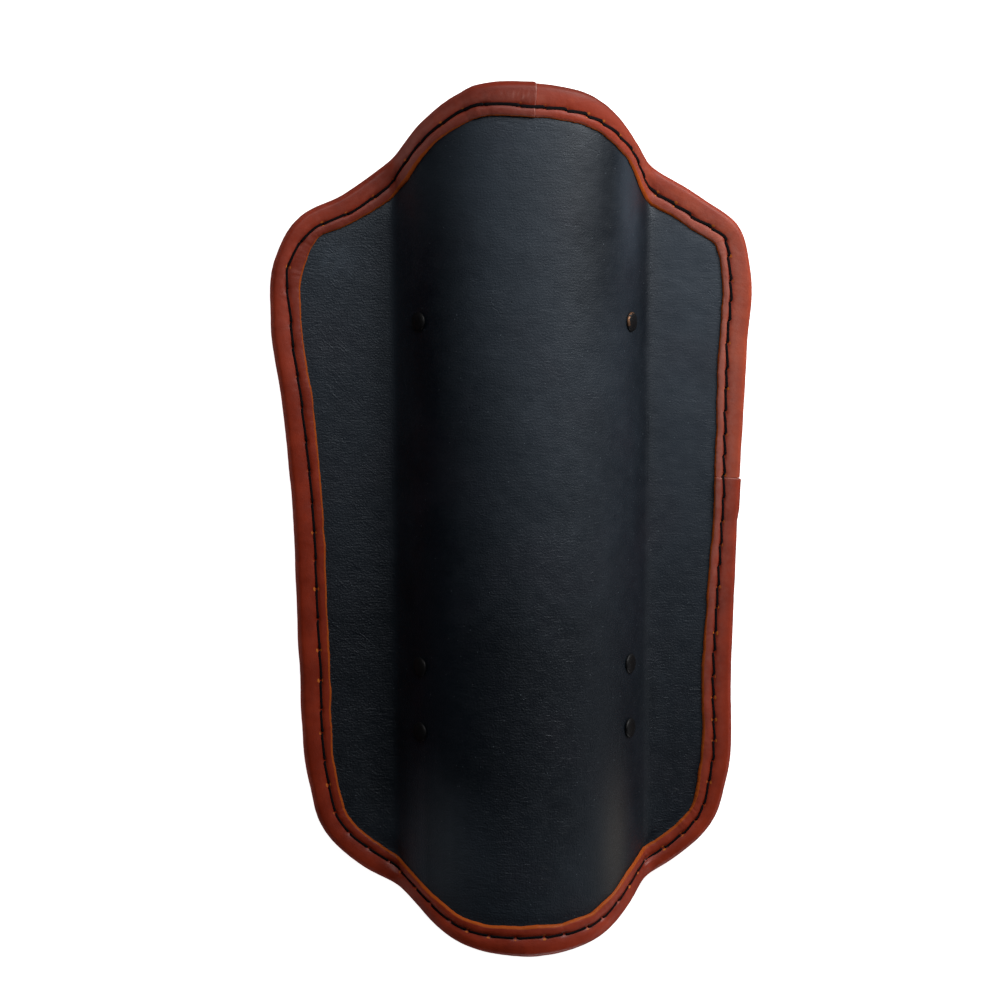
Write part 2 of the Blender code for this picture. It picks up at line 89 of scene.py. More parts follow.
strap_low, strap_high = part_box("hand_strap")
AXIS_X = (strap_low.x + strap_high.x) / 2
aim = np.array([AXIS_X, 0.0, AIM_HEIGHT])
towards_camera = np.array([
    -math.sin(VIEW_YAW) * math.cos(VIEW_PITCH), math.sin(VIEW_PITCH),
    math.cos(VIEW_YAW) * math.cos(VIEW_PITCH)])
right = unit(np.cross(-towards_camera, (0.0, 1.0, 0.0)))
up = np.cross(right, -towards_camera)
camera = put_in_scene("camera", bpy.data.cameras.new("camera"), (right, up, towards_camera),
                      aim + VIEW_DISTANCE * towards_camera)
bpy.context.scene.camera = camera
camera.data.sensor_width = SENSOR_WIDTH
camera.data.lens = SENSOR_WIDTH * VIEW_DISTANCE / (PICTURE_PIXELS * PIXEL_SIZE)
camera.data.shift_x = (PICTURE_PIXELS / 2 - AIM_PIXEL[0]) / PICTURE_PIXELS
camera.data.shift_y = (AIM_PIXEL[1] - PICTURE_PIXELS / 2) / PICTURE_PIXELS
print("lens", round(camera.data.lens, 1), "mm")

# %% [markdown]
# ## From a flat plan to a folded shield
#
# Every layer of the shield follows the same bend: a round top, straight flanks, a hollow fillet at the
# foot of each, and flat wings. Bending each mesh by hand would never keep the layers parallel. It is
# easier to make everything flat, with u across, v along and n out of the front, and to fold it with one
# function. The function is exact, so a gap of 0.3 mm in the plan stays 0.3 mm on the ridge.

# %% Fold function
BOARD_THICKNESS = 8 * MM
RIDGE_ANGLE = math.radians(60)
CREST_RADIUS = 98 * MM / math.cos(RIDGE_ANGLE / 10)
FOOT_RADIUS = 10 * MM
FLANK_RUN = 21 * MM - FOOT_RADIUS * math.tan(RIDGE_ANGLE / 2)
FOOT_U = CREST_RADIUS * RIDGE_ANGLE + FLANK_RUN + FOOT_RADIUS * RIDGE_ANGLE / 2
ROW_UPPER = 149.5 * MM

WING_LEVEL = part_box("board")[0].z + BOARD_THICKNESS
MID_Y = (strap_low.y + strap_high.y) / 2 - ROW_UPPER


def fold(u, v, n):
    """Fold flat points. The slope grows as u / radius over the round top, holds down the flank, and
    falls back to nothing round the hollow foot; n is laid off along the normal to that slope."""
    u, v, n = np.broadcast_arrays(u, v, n)
    side, reach = np.sign(u), np.abs(u)
    over = np.minimum(reach / CREST_RADIUS, RIDGE_ANGLE)
    down = np.clip(reach - CREST_RADIUS * RIDGE_ANGLE, 0, FLANK_RUN)
    back = np.clip((reach - CREST_RADIUS * RIDGE_ANGLE - FLANK_RUN) / FOOT_RADIUS, 0, RIDGE_ANGLE)
    out = np.maximum(reach - (CREST_RADIUS + FOOT_RADIUS) * RIDGE_ANGLE - FLANK_RUN, 0)
    sine, cosine = math.sin(RIDGE_ANGLE), math.cos(RIDGE_ANGLE)
    x = CREST_RADIUS * np.sin(over) + down * cosine + out
    x += FOOT_RADIUS * (sine - np.sin(RIDGE_ANGLE - back))
    drop = CREST_RADIUS * (1 - np.cos(over)) + down * sine
    drop += FOOT_RADIUS * (np.cos(RIDGE_ANGLE - back) - cosine)
    crest = WING_LEVEL + (CREST_RADIUS + FOOT_RADIUS) * (1 - cosine) + FLANK_RUN * sine
    slope = over - back
    x = AXIS_X + side * (x + n * np.sin(slope))
    return np.stack([x, MID_Y + v, crest - drop + n * np.cos(slope)], axis=-1)


print("crest of the board stands", round(fold(0.0, 0.0, 0.0)[2] / MM, 1), "mm over the floor")

# %% [markdown]
# ## The outline
#
# The rim was cut by hand, so its two sides differ. A few points give its character, and a smooth curve
# through them gives the rest. Each span is a cubic whose ends follow the curve's direction there.

# %% Outline as a curve
HALF_WIDTH = 210 * MM
HALF_LENGTH = 323.5 * MM
OUTLINE_SHARES = [
    (0.000, 0.992), (0.222, 0.969), (0.450, 0.885), (0.572, 0.830), (0.803, 0.743), (0.923, 0.683),
    (0.963, 0.581), (0.952, 0.402), (0.927, 0.015), (0.901, -0.386), (0.891, -0.634), (0.840, -0.743),
    (0.668, -0.842), (0.486, -0.897), (0.252, -0.980), (0.000, -1.004), (-0.263, -0.982),
    (-0.483, -0.905), (-0.687, -0.841), (-0.852, -0.739), (-0.897, -0.633), (-0.932, -0.340),
    (-0.954, 0.046), (-0.986, 0.263), (-1.025, 0.464), (-1.013, 0.597), (-0.934, 0.697),
    (-0.764, 0.754), (-0.566, 0.845), (-0.392, 0.927), (-0.214, 0.984),
]
STEPS_PER_SPAN = 30


def curve_through(knots, steps):
    """Closed curve through the knots, clockwise: cubic Hermite spans, each with its chord's length as
    its speed, and at each knot the mean of both chords' directions, the shorter chord counting more."""
    back, ahead = knots - np.roll(knots, 1, axis=0), np.roll(knots, -1, axis=0) - knots
    near = np.linalg.norm(back, axis=1)[:, None]
    far = np.linalg.norm(ahead, axis=1)[:, None]
    course = unit(back / near * far + ahead / far * near)
    t = (np.arange(steps) / steps)[None, :, None]
    start, end = knots[:, None], np.roll(knots, -1, axis=0)[:, None]
    leave, arrive = (course * far)[:, None], (np.roll(course, -1, axis=0) * far)[:, None]
    spans = start * (2 * t**3 - 3 * t**2 + 1) + leave * (t**3 - 2 * t**2 + t)
    spans = spans + end * (3 * t**2 - 2 * t**3) + arrive * (t**3 - t**2)
    return spans.reshape(-1, 2)


def lengths_along(path):
    """Length of a path from its start to each of its points."""
    return np.concatenate([[0.0], np.cumsum(np.linalg.norm(np.diff(path, axis=0), axis=1))])


rim_line = curve_through(np.array(OUTLINE_SHARES) * (HALF_WIDTH, HALF_LENGTH), STEPS_PER_SPAN)
rim_line = np.vstack([rim_line, rim_line[:1]])
rim_lengths = lengths_along(rim_line)
RIM_LENGTH = rim_lengths[-1]
along = unit(np.roll(rim_line[:-1], -1, axis=0) - np.roll(rim_line[:-1], 1, axis=0))
rim_outward = np.stack([-along[:, 1], along[:, 0]], axis=1)
rim_outward = np.vstack([rim_outward, rim_outward[:1]])


def rim_point(length, offset):
    """Flat point at a length along the rim, clockwise from the ridge line, moved out by offset."""
    where = np.mod(length, RIM_LENGTH)
    on_rim, out = ([np.interp(where, rim_lengths, column) for column in table.T]
                   for table in (rim_line, rim_outward))
    return on_rim[0] + offset * out[0], on_rim[1] + offset * out[1]


# %% [markdown]
# ## Helpers for meshes
#
# A grid of points becomes a mesh when its neighbours are numbered as quads. Hand work and wear are sums
# of three simple shapes: a ramp, a bell, and a random swell of a few sine waves, always the same because
# its seed is fixed. Ramp and bell take their places in millimetres, so their numbers can be read off a
# ruler laid on the shield.

# %% Grid, ramp, bell, swell and piece helpers
pieces = {}


def grid_faces(rows, columns, around=False):
    """Quads between neighbouring points numbered row by row; around joins the last column to the first."""
    last = columns if around else columns - 1
    row, column = np.meshgrid(np.arange(rows - 1), np.arange(last), indexing="ij")
    across = (column + 1) % columns
    corners = [row * columns + column, row * columns + across]
    corners += [(row + 1) * columns + across, (row + 1) * columns + column]
    return np.stack(corners, axis=-1).reshape(-1, 4)


def tube_faces(rows, ring):
    """Quads round a tube of rings, and one face on each end, which closes it."""
    caps = [list(range(ring))[::-1], list(range((rows - 1) * ring, rows * ring))]
    return grid_faces(rows, ring, around=True).tolist() + caps


def swell(x, y, size, seed, waves=14):
    """Random swell of about one unit: sine waves of roughly the given size, each in its own direction."""
    draw = np.random.default_rng(seed)
    total = np.zeros(np.broadcast(x, y).shape)
    for heading, stretch, phase in draw.uniform((0, 0.6, 0), (math.tau, 1.6, math.tau), (waves, 3)):
        reach = math.tau / size * stretch
        total += np.sin(reach * (x * math.cos(heading) + y * math.sin(heading)) + phase)
    return total / math.sqrt(waves / 2) * 0.5


def ramp(value, start, end):
    """Straight ramp: (value - start) / (end - start) in millimetres, kept between 0 and 1. The end may be
    lower than the start."""
    return np.clip((value / MM - start) / (end - start), 0, 1)


def bell(value, middle, width):
    """Bell curve in millimetres: e to the minus square of the distance to the middle over the width."""
    return np.exp(-((value / MM - middle) / width) ** 2)


def add_piece(name, points, faces, material, nodes, marks=None, flat=None, sharp=40):
    """Put a mesh in the scene as a finished piece that stands for its solids and rides on the shield."""
    mesh = bpy.data.meshes.new(name)
    mesh.from_pydata(points.reshape(-1, 3).tolist(), [], faces)
    for label, values in (marks or {}).items():
        layer = mesh.attributes.new(label, "FLOAT", "POINT")
        layer.data.foreach_set("value", np.asarray(values, dtype=np.float32).ravel())
    if flat is not None:
        corner = np.empty(len(mesh.loops), dtype=np.int32)
        mesh.loops.foreach_get("vertex_index", corner)
        layer = mesh.uv_layers.new(name="flat")
        layer.data.foreach_set("uv", flat.reshape(-1, 2)[corner].astype(np.float32).ravel())
    mesh.shade_smooth()
    mesh.set_sharp_from_angle(angle=math.radians(sharp))
    mesh.materials.append(material)
    piece = put_in_scene(name, mesh)
    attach(piece, "root")
    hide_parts(*nodes)
    pieces[name] = piece
    print(name, len(mesh.polygons), "faces")
    return piece


# %% [markdown]
# ## Helpers for materials
#
# Colours are written as they look on a screen and turned to linear light by one function. One more
# function adds a node and hands back an output of it, so a pattern reads as a chain of named values.
# Patterns are sized in real millimetres through the number of them in a metre.

# %% Colour and node helpers
def light_of(hex_colour):
    """Linear colour of an sRGB hex: ((c + 0.055) / 1.055) ** 2.4, or c / 12.92 where it is very dark."""
    channels = np.array([int(hex_colour[k:k + 2], 16) for k in (1, 3, 5)]) / 255
    linear = np.where(channels > 0.04045, ((channels + 0.055) / 1.055) ** 2.4, channels / 12.92)
    return (*linear.tolist(), 1.0)


def connect(node, inputs):
    """Give each socket a value, a colour as a hex, or another node's output."""
    for socket, value in inputs.items():
        if isinstance(value, bpy.types.NodeSocket):
            node.id_data.links.new(value, node.inputs[socket])
        else:
            node.inputs[socket].default_value = light_of(value) if isinstance(value, str) else value


def add_node(tree, kind, inputs=None, out=0, **settings):
    """Add a node and return one of its outputs, the first unless out names another. Settings are the
    node's own; inputs are as for connect."""
    made = tree.nodes.new("ShaderNode" + kind)
    for key, value in settings.items():
        setattr(made, key, value)
    connect(made, inputs or {})
    return made.outputs[out]


def new_material(name, roughness, metallic=0.0):
    """A material with a Principled shader of plain values; returns it with add_node for its own tree and
    its shader."""
    material = bpy.data.materials.new(name)
    material.use_nodes = True
    shader = material.node_tree.nodes["Principled BSDF"]
    shader.inputs["Roughness"].default_value = roughness
    shader.inputs["Metallic"].default_value = metallic
    return material, functools.partial(add_node, material.node_tree), shader


def per_metre(size):
    """Noise scale for marks of that size: one metre divided by it."""
    return 1.0 / size


# %% [markdown]
# ## Painted canvas
#
# The face is linen canvas, glued down and painted black. The paint fills the weave and leaves a fine
# grain, coarser on the wings and lower down. Over it lie short creases of the cloth, level on the ridge
# and aslant on the left wing, thin wrinkles where it was pulled under the binding, some pits, and lint.
# Dust has settled towards the top. Its haze also carries painted light, paler towards the top, and painted
# shade where it is thin: on the ridge's left flank, its right shoulder and foot, and the left wing. The
# ridge's shoulders near the bottom have grey patches, partly rubbed paint and partly a painted sheen. The
# mesh carries values that say how much.

# %% Material: painted linen canvas
GRAIN_SIZE = 1.4 * MM
THREAD_STEP = 1.5 * MM
CREASE_SIZE = 2.4 * MM
CREASES = ((0, 3.5), (-42, 6.0))
WRINKLE_SIZE = 5 * MM
BRUSH_SIZE = 11 * MM
PIT_SPACING = 11 * MM
LINT_SPACING = 4 * MM
CRACK_MIDDLE = 50 * MM
CRACK_REACH = 38 * MM


def dots_at(add, plan, spacing, inner, outer, least):
    """Scattered dots: middles of Voronoi cells, where a cell counts when its random value is over the
    least. Inner and outer radius of the soft edge are shares of the spacing."""
    cell = add("TexVoronoi", {"Vector": plan, "Scale": per_metre(spacing)})
    dot = add("MapRange", {
        "Value": cell, "From Min": inner, "From Max": outer, "To Min": 1.0, "To Max": 0.0})
    some = add("Math", {0: cell.node.outputs["Color"], 1: least}, operation="GREATER_THAN")
    return add("Math", {0: dot, 1: some}, operation="MULTIPLY")


def creases_along(add, plan, slant, stretch):
    """Sparse short creases, lying at a slant in degrees to the line across the shield."""
    turned = add("Mapping", {
        "Vector": plan, "Rotation": (0.0, 0.0, math.radians(slant)), "Scale": (stretch, 1.0, 1.0)},
        vector_type="TEXTURE")
    marks = add("TexNoise", {
        "Vector": turned, "Scale": per_metre(CREASE_SIZE), "Detail": 1.5, "Distortion": 0.7})
    return add("MapRange", {"Value": marks, "From Min": 0.58, "From Max": 0.74})


def threads_along(add, plan, drawn):
    """Uneven threads of the weave under the paint, long where the plan is scaled down."""
    stretched = add("Mapping", {"Vector": plan, "Scale": drawn})
    return add("TexNoise", {"Vector": stretched, "Scale": per_metre(THREAD_STEP), "Detail": 1.0})


def wrinkles_across(add, plan, pull):
    """Wavy grooves that run in from the sides: lines where a drawn-out noise passes its middle value,
    in clusters, and only where the mesh says that the cloth was pulled."""
    drawn = add("Mapping", {"Vector": plan, "Scale": (4.5, 1.0, 1.0)}, vector_type="TEXTURE")
    wave = add("TexNoise", {
        "Vector": drawn, "Scale": per_metre(WRINKLE_SIZE), "Detail": 1.0, "Distortion": 0.9})
    from_middle = add("Math", {0: wave, 1: 0.5}, operation="SUBTRACT")
    from_middle = add("Math", {0: from_middle}, operation="ABSOLUTE")
    line = add("MapRange", {"Value": from_middle, "From Max": 0.035, "To Min": 1.0, "To Max": 0.0})
    cluster = add("TexNoise", {"Vector": plan, "Scale": per_metre(32 * MM)})
    cluster = add("MapRange", {"Value": cluster, "From Min": 0.4, "From Max": 0.6})
    line = add("Math", {0: line, 1: cluster}, operation="MULTIPLY")
    return add("Math", {0: line, 1: pull}, operation="MULTIPLY")


def crack_at_foot(add, plan):
    """A thin wavering crack in the paint along the right foot of the ridge, for a part of its length."""
    across = add("SeparateXYZ", {"Vector": plan})
    up_shield = across.node.outputs["Y"]
    waver = add("TexNoise", {"Vector": plan, "Scale": per_metre(25 * MM)})
    middle = add("Math", {0: waver, 1: 5 * MM, 2: FOOT_U - 2 * MM}, operation="MULTIPLY_ADD")
    away = add("Math", {0: across, 1: middle}, operation="SUBTRACT")
    away = add("Math", {0: away}, operation="ABSOLUTE")
    line = add("MapRange", {
        "Value": away, "From Min": 0.2 * MM, "From Max": 0.8 * MM, "To Min": 1.0, "To Max": 0.0})
    height = add("Math", {0: up_shield, 1: CRACK_MIDDLE}, operation="SUBTRACT")
    height = add("Math", {0: height}, operation="ABSOLUTE")
    part = add("MapRange", {
        "Value": height, "From Min": 0.6 * CRACK_REACH, "From Max": CRACK_REACH,
        "To Min": 1.0, "To Max": 0.0})
    return add("Math", {0: line, 1: part}, operation="MULTIPLY")


def linen_tone(add, plan, values, pit):
    """Blue-black paint under a haze of dust that also carries painted light and shade, in places a little
    purple, grey patches that are partly rubbed paint and partly a painted sheen, and lint.
    """
    cloud = add("TexNoise", {"Vector": plan, "Scale": per_metre(45 * MM), "Detail": 5.0, "Roughness": 0.6})
    uneven = add("Math", {0: cloud, 1: 0.5}, operation="SUBTRACT")
    # Dust haze, which also carries painted light towards the top and painted shade where it is thin.
    dust_and_light_haze = add("Math", {0: uneven, 1: 0.6, 2: values["dust_and_painted_light"]}, operation="MULTIPLY_ADD")
    dust_and_light_haze = add("Math", {0: dust_and_light_haze, 1: pit}, operation="SUBTRACT", use_clamp=True)
    purple = add("TexNoise", {"Vector": plan, "Scale": per_metre(80 * MM), "Detail": 3.0})
    purple = add("MapRange", {"Value": purple, "From Min": 0.5, "From Max": 0.75, "To Max": 0.35})
    lint = add("Math", {0: dots_at(add, plan, LINT_SPACING, 0.05, 0.12, 0.7), 1: 0.5}, operation="MULTIPLY")
    tone = "#060D15"
    # The grey patches are partly rubbed paint and partly a painted sheen.
    for share, hue in (
            (dust_and_light_haze, "#2A323B"), (purple, "#1B1620"), (values["rubbed"], "#3E3A36"), (lint, "#6A747C")):
        tone = add("Mix", {0: share, 6: tone, 7: hue}, data_type="RGBA", out=2)
    return tone


def painted_linen():
    """Dusty black paint, with painted light and shade in its dust. The bump adds grain, brush marks, creases,
    wrinkles by the mesh's pull, and pits.
    """
    material, add, shader = new_material("black_painted_linen", 0.5)
    shader.inputs["Specular Tint"].default_value = light_of("#EEF6FF")
    plan = add("UVMap", uv_map="flat")
    values = {name: add("Attribute", out="Fac", attribute_name=name)
              for name in ("pull", "dust_and_painted_light", "rubbed", "lean", "coarse", "smooth")}
    pit = dots_at(add, plan, PIT_SPACING, 0.03, 0.07, 0.72)
    brush = add("TexNoise", {
        "Vector": plan, "Scale": per_metre(BRUSH_SIZE), "Detail": 4.0, "Distortion": 0.3})
    satin = add("MapRange", {
        "Value": brush, "From Min": 0.3, "From Max": 0.7, "To Min": 0.46, "To Max": 0.55})
    satin = add("Math", {0: values["smooth"], 1: -0.08, 2: satin}, operation="MULTIPLY_ADD")
    level, aslant = (creases_along(add, plan, slant, stretch) for slant, stretch in CREASES)
    crease = add("Mix", {0: values["lean"], 2: level, 3: aslant})
    patch = add("TexNoise", {"Vector": plan, "Scale": per_metre(40 * MM)})
    patch = add("MapRange", {"Value": patch, "From Min": 0.42, "From Max": 0.6})
    crease = add("Math", {0: crease, 1: patch}, operation="MULTIPLY")
    wrinkle = wrinkles_across(add, plan, values["pull"])
    grain = add("TexNoise", {
        "Vector": plan, "Scale": per_metre(GRAIN_SIZE), "Detail": 1.0, "Roughness": 0.5})
    warp, weft = (threads_along(add, plan, drawn) for drawn in ((1.0, 0.12, 1.0), (0.12, 1.0, 1.0)))
    crack = crack_at_foot(add, plan)
    height = brush
    for layer, share in ((grain, 1.0), (warp, 0.35), (weft, 0.42), (crease, 0.38), (pit, -0.8)):
        height = add("Math", {0: layer, 1: share, 2: height}, operation="MULTIPLY_ADD")
    height = add("Math", {0: height, 1: values["coarse"]}, operation="MULTIPLY")
    for layer, share in ((wrinkle, -0.7), (crack, -1.0)):
        height = add("Math", {0: layer, 1: share, 2: height}, operation="MULTIPLY_ADD")
    relief = add("Bump", {"Height": height, "Strength": 0.5, "Distance": 0.5 * MM})
    connect(shader, {
        "Base Color": linen_tone(add, plan, values, pit), "Roughness": satin, "Normal": relief})
    return material


linen = painted_linen()
print("grain", GRAIN_SIZE / MM, "mm, creases",
      [round(CREASE_SIZE * stretch / MM, 1) for _, stretch in CREASES], "mm long")

# %% [markdown]
# ## The canvas as one stretched sheet
#
# The cloth covers the whole front, so its plan is the outline itself. A grid is stretched between the
# four stretches of rim: each inner point is a blend of the points across from it on the four sides. It
# then gets the small relief of hand work: lumps in the board, cloth pulled in round each rivet, and
# creases where the binding was pulled tight over it. Solidify makes it a cloth with two faces.

# %% Grid inside the outline
CORNER_KNOTS = {"top_right": 5, "bottom_right": 11, "bottom_left": 19, "top_left": 26}
corner_lengths = {name: rim_lengths[knot * STEPS_PER_SPAN] for name, knot in CORNER_KNOTS.items()}


def plan_grid(columns, rows):
    """Blend of the four sides: opposite sides mixed each way, less the mix of the four corners."""
    a, b = np.linspace(0, 1, columns)[None, :, None], np.linspace(0, 1, rows)[:, None, None]

    def side(start, end, steps):
        first, last = corner_lengths[start], corner_lengths[end]
        last += RIM_LENGTH * (last < first)
        return np.stack(rim_point(np.linspace(first, last, steps), 0.0), axis=-1)

    top = side("top_left", "top_right", columns)[None]
    bottom = side("bottom_right", "bottom_left", columns)[::-1][None]
    left = side("bottom_left", "top_left", rows)[:, None]
    right = side("top_right", "bottom_right", rows)[::-1][:, None]
    corners = (1 - a) * (1 - b) * bottom[:, :1] + a * (1 - b) * bottom[:, -1:]
    corners = corners + (1 - a) * b * top[:, :1] + a * b * top[:, -1:]
    return (1 - b) * bottom + b * top + (1 - a) * left + a * right - corners


def rim_distance(plan):
    """Distance of each flat point to the rim, taken to every fourth point of the curve, row by row."""
    line = rim_line[::4]
    return np.stack([np.linalg.norm(row[:, None] - line[None], axis=2).min(axis=1) for row in plan])


print("corners at", {name: round(length / MM) for name, length in corner_lengths.items()}, "mm along the rim")

# %% Canvas sheet
GAP = 0.3 * MM
CANVAS_THICKNESS = 1.0 * MM
CANVAS_TOP = GAP + CANVAS_THICKNESS
BINDING_WIDTH = 19.5 * MM
RIVET_U = CREST_RADIUS * RIDGE_ANGLE * 0.9
RIVETS = [(row, label, side) for row in ("upper", "middle", "lower")
          for label, side in (("left", -1), ("right", 1))]
CANVAS_COLUMNS, CANVAS_ROWS = 150, 285


def row_height(row):
    """Height of a rivet row on the plan, from its solid's box."""
    low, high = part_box(f"rivet_{row}_left")
    return (low.y + high.y) / 2 - MID_Y


def canvas_relief(u, v, from_cut):
    """Swell of the board, creases across the shield, a dimple round each rivet, and paint that fills
    the hollow at the ridge's foot; pressed down along the binding and flat under it."""
    relief = 0.22 * MM * swell(u, v, 60 * MM, seed=3) + 0.06 * MM * swell(u, v * 2.5, 22 * MM, seed=4)
    relief += 0.05 * MM * swell(u, v, 11 * MM, seed=5) * np.clip(swell(u, v, 90 * MM, seed=6), 0, 1)
    for row, _, side in RIVETS:
        relief -= 0.35 * MM * bell(np.hypot(u - side * RIVET_U, v - row_height(row)), 0, 12)
    relief += 1.6 * MM * bell(np.abs(u) - FOOT_U, 0, 9)
    return relief * ramp(from_cut, 0, 12) - 0.35 * MM * bell(from_cut, 0, 4)


def dust_and_painted_light_of(u, v, lean, aloft, low, streaks):
    """Dust, which also carries painted light and shade. It lies from a little below the middle upwards, which
    also paints light that falls off down the shield. Less of it is painted shade on the ridge's left flank,
    its right shoulder and flank, its right foot and the left wing; more of it is painted light on the right
    wing, along the bottom edge and in a few patches. One patch on the left wing is real dust, and streaks on
    the lower left shoulder are partly a painted sheen."""
    # Painted shade: the dust is thinned on the left flank, the left wing, the ridge's right shoulder, the
    # right flank and the right foot.
    painted_shade = bell(u, -84, 34) * (1 - 0.5 * ramp(v, 170, 240)) + 0.25 * lean
    painted_shade += bell(u, 53, 36) * (0.35 + 0.65 * aloft) + 0.35 * bell(u, 97, 14) * bell(v, 105, 70)
    painted_shade += (0.7 + 0.3 * aloft) * bell(u - FOOT_U, -4, 16)
    # The rise of dust towards the top also paints light that falls off down the shield.
    dust_and_painted_light = 0.65 * ramp(v, -150, 120) * (1 - np.minimum(painted_shade, 1))
    dust_and_painted_light += aloft * (0.42 * bell(u, -34, 22) - 0.3 * bell(u, 46, 24)) + 0.08 * bell(u, 5, 30)
    dust_and_painted_light += 0.75 * bell(u, 91, 17) * ramp(v, 185, 230)
    dust_and_painted_light -= 0.4 * bell(u, -5, 62) * bell(v, -138, 50) + 0.2 * lean * bell(v, -115, 55)
    dust_and_painted_light += bell(u, -168, 16) * bell(v, 196, 14) * (0.6 + 0.45 * swell(u, v, 8 * MM, seed=10))
    # Painted light on the right wing and along the bottom edge.
    dust_and_painted_light += (0.22 - 0.12 * low) * ramp(u - FOOT_U, 0, 12) + 0.25 * bell(v, -290, 60)
    # Streaks on the lower left shoulder, partly a painted sheen.
    return dust_and_painted_light + bell(v, -258, 56) * (0.85 * bell(u, -72, 34) * streaks + 0.4 * bell(u, -112, 20))


plan = plan_grid(CANVAS_COLUMNS, CANVAS_ROWS)
u, v = plan[..., 0], plan[..., 1]
from_cut = rim_distance(plan) - BINDING_WIDTH
lean, aloft, low = ramp(u + FOOT_U, 0, -10), ramp(v, 110, 240), ramp(v, 40, -160)
on_ridge = ramp(np.abs(u) - FOOT_U, 0, -15)
streaks = 1 + 0.3 * swell(u, 0 * v, 13 * MM, seed=9)
coarse = 0.9 - aloft * on_ridge * (0.2 + 0.45 * bell(u, 52, 36)) + 0.9 * low + 0.5 * lean
pulled = np.where(u < 0, 0.9 - 0.7 * ramp(v, 0, -80), 0.25) * bell(np.maximum(from_cut, 0), 0, 26)
marks = {
    "pull": 0.1 + pulled + 0.6 * bell(u, -38, 26) * bell(v, 165, 45),
    # Dust, with painted light and painted shade in it.
    "dust_and_painted_light": dust_and_painted_light_of(u, v, lean, aloft, low, streaks),
    # Grey patches on the lower shoulders: partly rubbed paint, partly a painted sheen.
    "rubbed": bell(v, -258, 56) * (0.65 * bell(u, 74, 16) + 0.15 * bell(u, -72, 24) * streaks),
    "lean": lean,
    "coarse": coarse - 0.4 * (1 - low) * ramp(u - FOOT_U, 0, 10),
    "smooth": 0.55 * aloft * bell(u, 50, 30) + bell(u, -95, 26),
}
canvas = add_piece(
    "canvas_sheet", fold(u, v, CANVAS_TOP + canvas_relief(u, v, from_cut)),
    grid_faces(CANVAS_ROWS, CANVAS_COLUMNS).tolist(), linen, ["canvas_facing"],
    marks=marks, flat=plan)
cloth = canvas.modifiers.new("two_faces", "SOLIDIFY")
cloth.thickness = CANVAS_THICKNESS * 0.9
cloth.offset = -1.0

# %% [markdown]
# ## The moulded board
#
# The back is bare of canvas. It is the board itself, painted black-brown over the grain of the wood.
# Front and back are the same grid at two depths, and a band of quads round the edge closes them.

# %% Material and mesh of the board
BOARD_COLUMNS, BOARD_ROWS = 110, 200


def painted_wood():
    """Thin black-brown paint: grain runs along the shield and shows as ridges and a change of tone."""
    material, add, shader = new_material("black_brown_painted_wood", 0.6)
    plan = add("UVMap", uv_map="flat")
    drawn = add("Mapping", {"Vector": plan, "Scale": (1.0, 0.06, 1.0)})
    grain = add("TexNoise", {
        "Vector": drawn, "Scale": per_metre(4 * MM), "Detail": 6.0, "Roughness": 0.7,
        "Distortion": 0.4})
    patches = add("TexNoise", {"Vector": plan, "Scale": per_metre(90 * MM), "Detail": 4.0})
    mixed = add("Math", {0: grain, 1: patches}, operation="MULTIPLY")
    worn = add("MapRange", {"Value": mixed, "From Min": 0.15, "From Max": 0.4})
    tone = add("Mix", {0: worn, 6: "#1A1614", 7: "#3A2C22"}, data_type="RGBA", out=2)
    relief = add("Bump", {"Height": grain, "Strength": 0.6, "Distance": 0.4 * MM})
    connect(shader, {"Base Color": tone, "Normal": relief})
    return material


def board_faces(rows, columns):
    """Front quads, back quads wound the other way, and the edge band between their outer loops."""
    front = grid_faces(rows, columns)
    back = front[:, ::-1] + rows * columns
    index = np.arange(rows * columns).reshape(rows, columns)
    loop = np.concatenate([index[0, :-1], index[:-1, -1], index[-1, :0:-1], index[:0:-1, 0]])
    after = np.roll(loop, -1)
    band = np.stack([after, loop, loop + rows * columns, after + rows * columns], axis=-1)
    return np.vstack([front, back, band])


plan = plan_grid(BOARD_COLUMNS, BOARD_ROWS)
u, v = plan[..., 0], plan[..., 1]
uneven = 0.25 * MM * swell(u, v, 70 * MM, seed=8) * ramp(rim_distance(plan) - BINDING_WIDTH, 0, 20)
front, back = fold(u, v, 0.0), fold(u, v, uneven - BOARD_THICKNESS)
add_piece(
    "moulded_board", np.stack([front, back]), board_faces(BOARD_ROWS, BOARD_COLUMNS).tolist(), painted_wood(),
    ["board"], flat=np.stack([plan, plan]))

# %% [markdown]
# ## Leather binding: the section
#
# The binding is two strips of veg-tanned leather, folded over the rim and sewn through. Seen in section,
# each starts at a raw cut edge, dips at the seam, and stands up in a plump roll round the rim. A handful
# of control points gives that section. A smooth curve through them gives the skin, and the same points
# can be lifted or thinned, which is how one strip climbs over the pared end of the other.

# %% Section of a strip
EDGE_GAP = 0.7 * MM
LEATHER_THICKNESS = 1.6 * MM
TONGUE_THICKNESS = 0.8 * MM
SEAM_INSET = 11 * MM
WELT_HEIGHT = 0.7 * MM
FRONT_ROLL = 3.4 * MM
EDGE_ROLL = 3.4 * MM
ROLL_INSET = 2.2 * MM
BACK_ROLL = 4.5 * MM
CUT_SLOPE = 1.4 * MM
LAP_LIFT = TONGUE_THICKNESS + GAP
UNDERSIDE = (-13 * MM, -6.5 * MM)
NOSE_POWER = 0.75


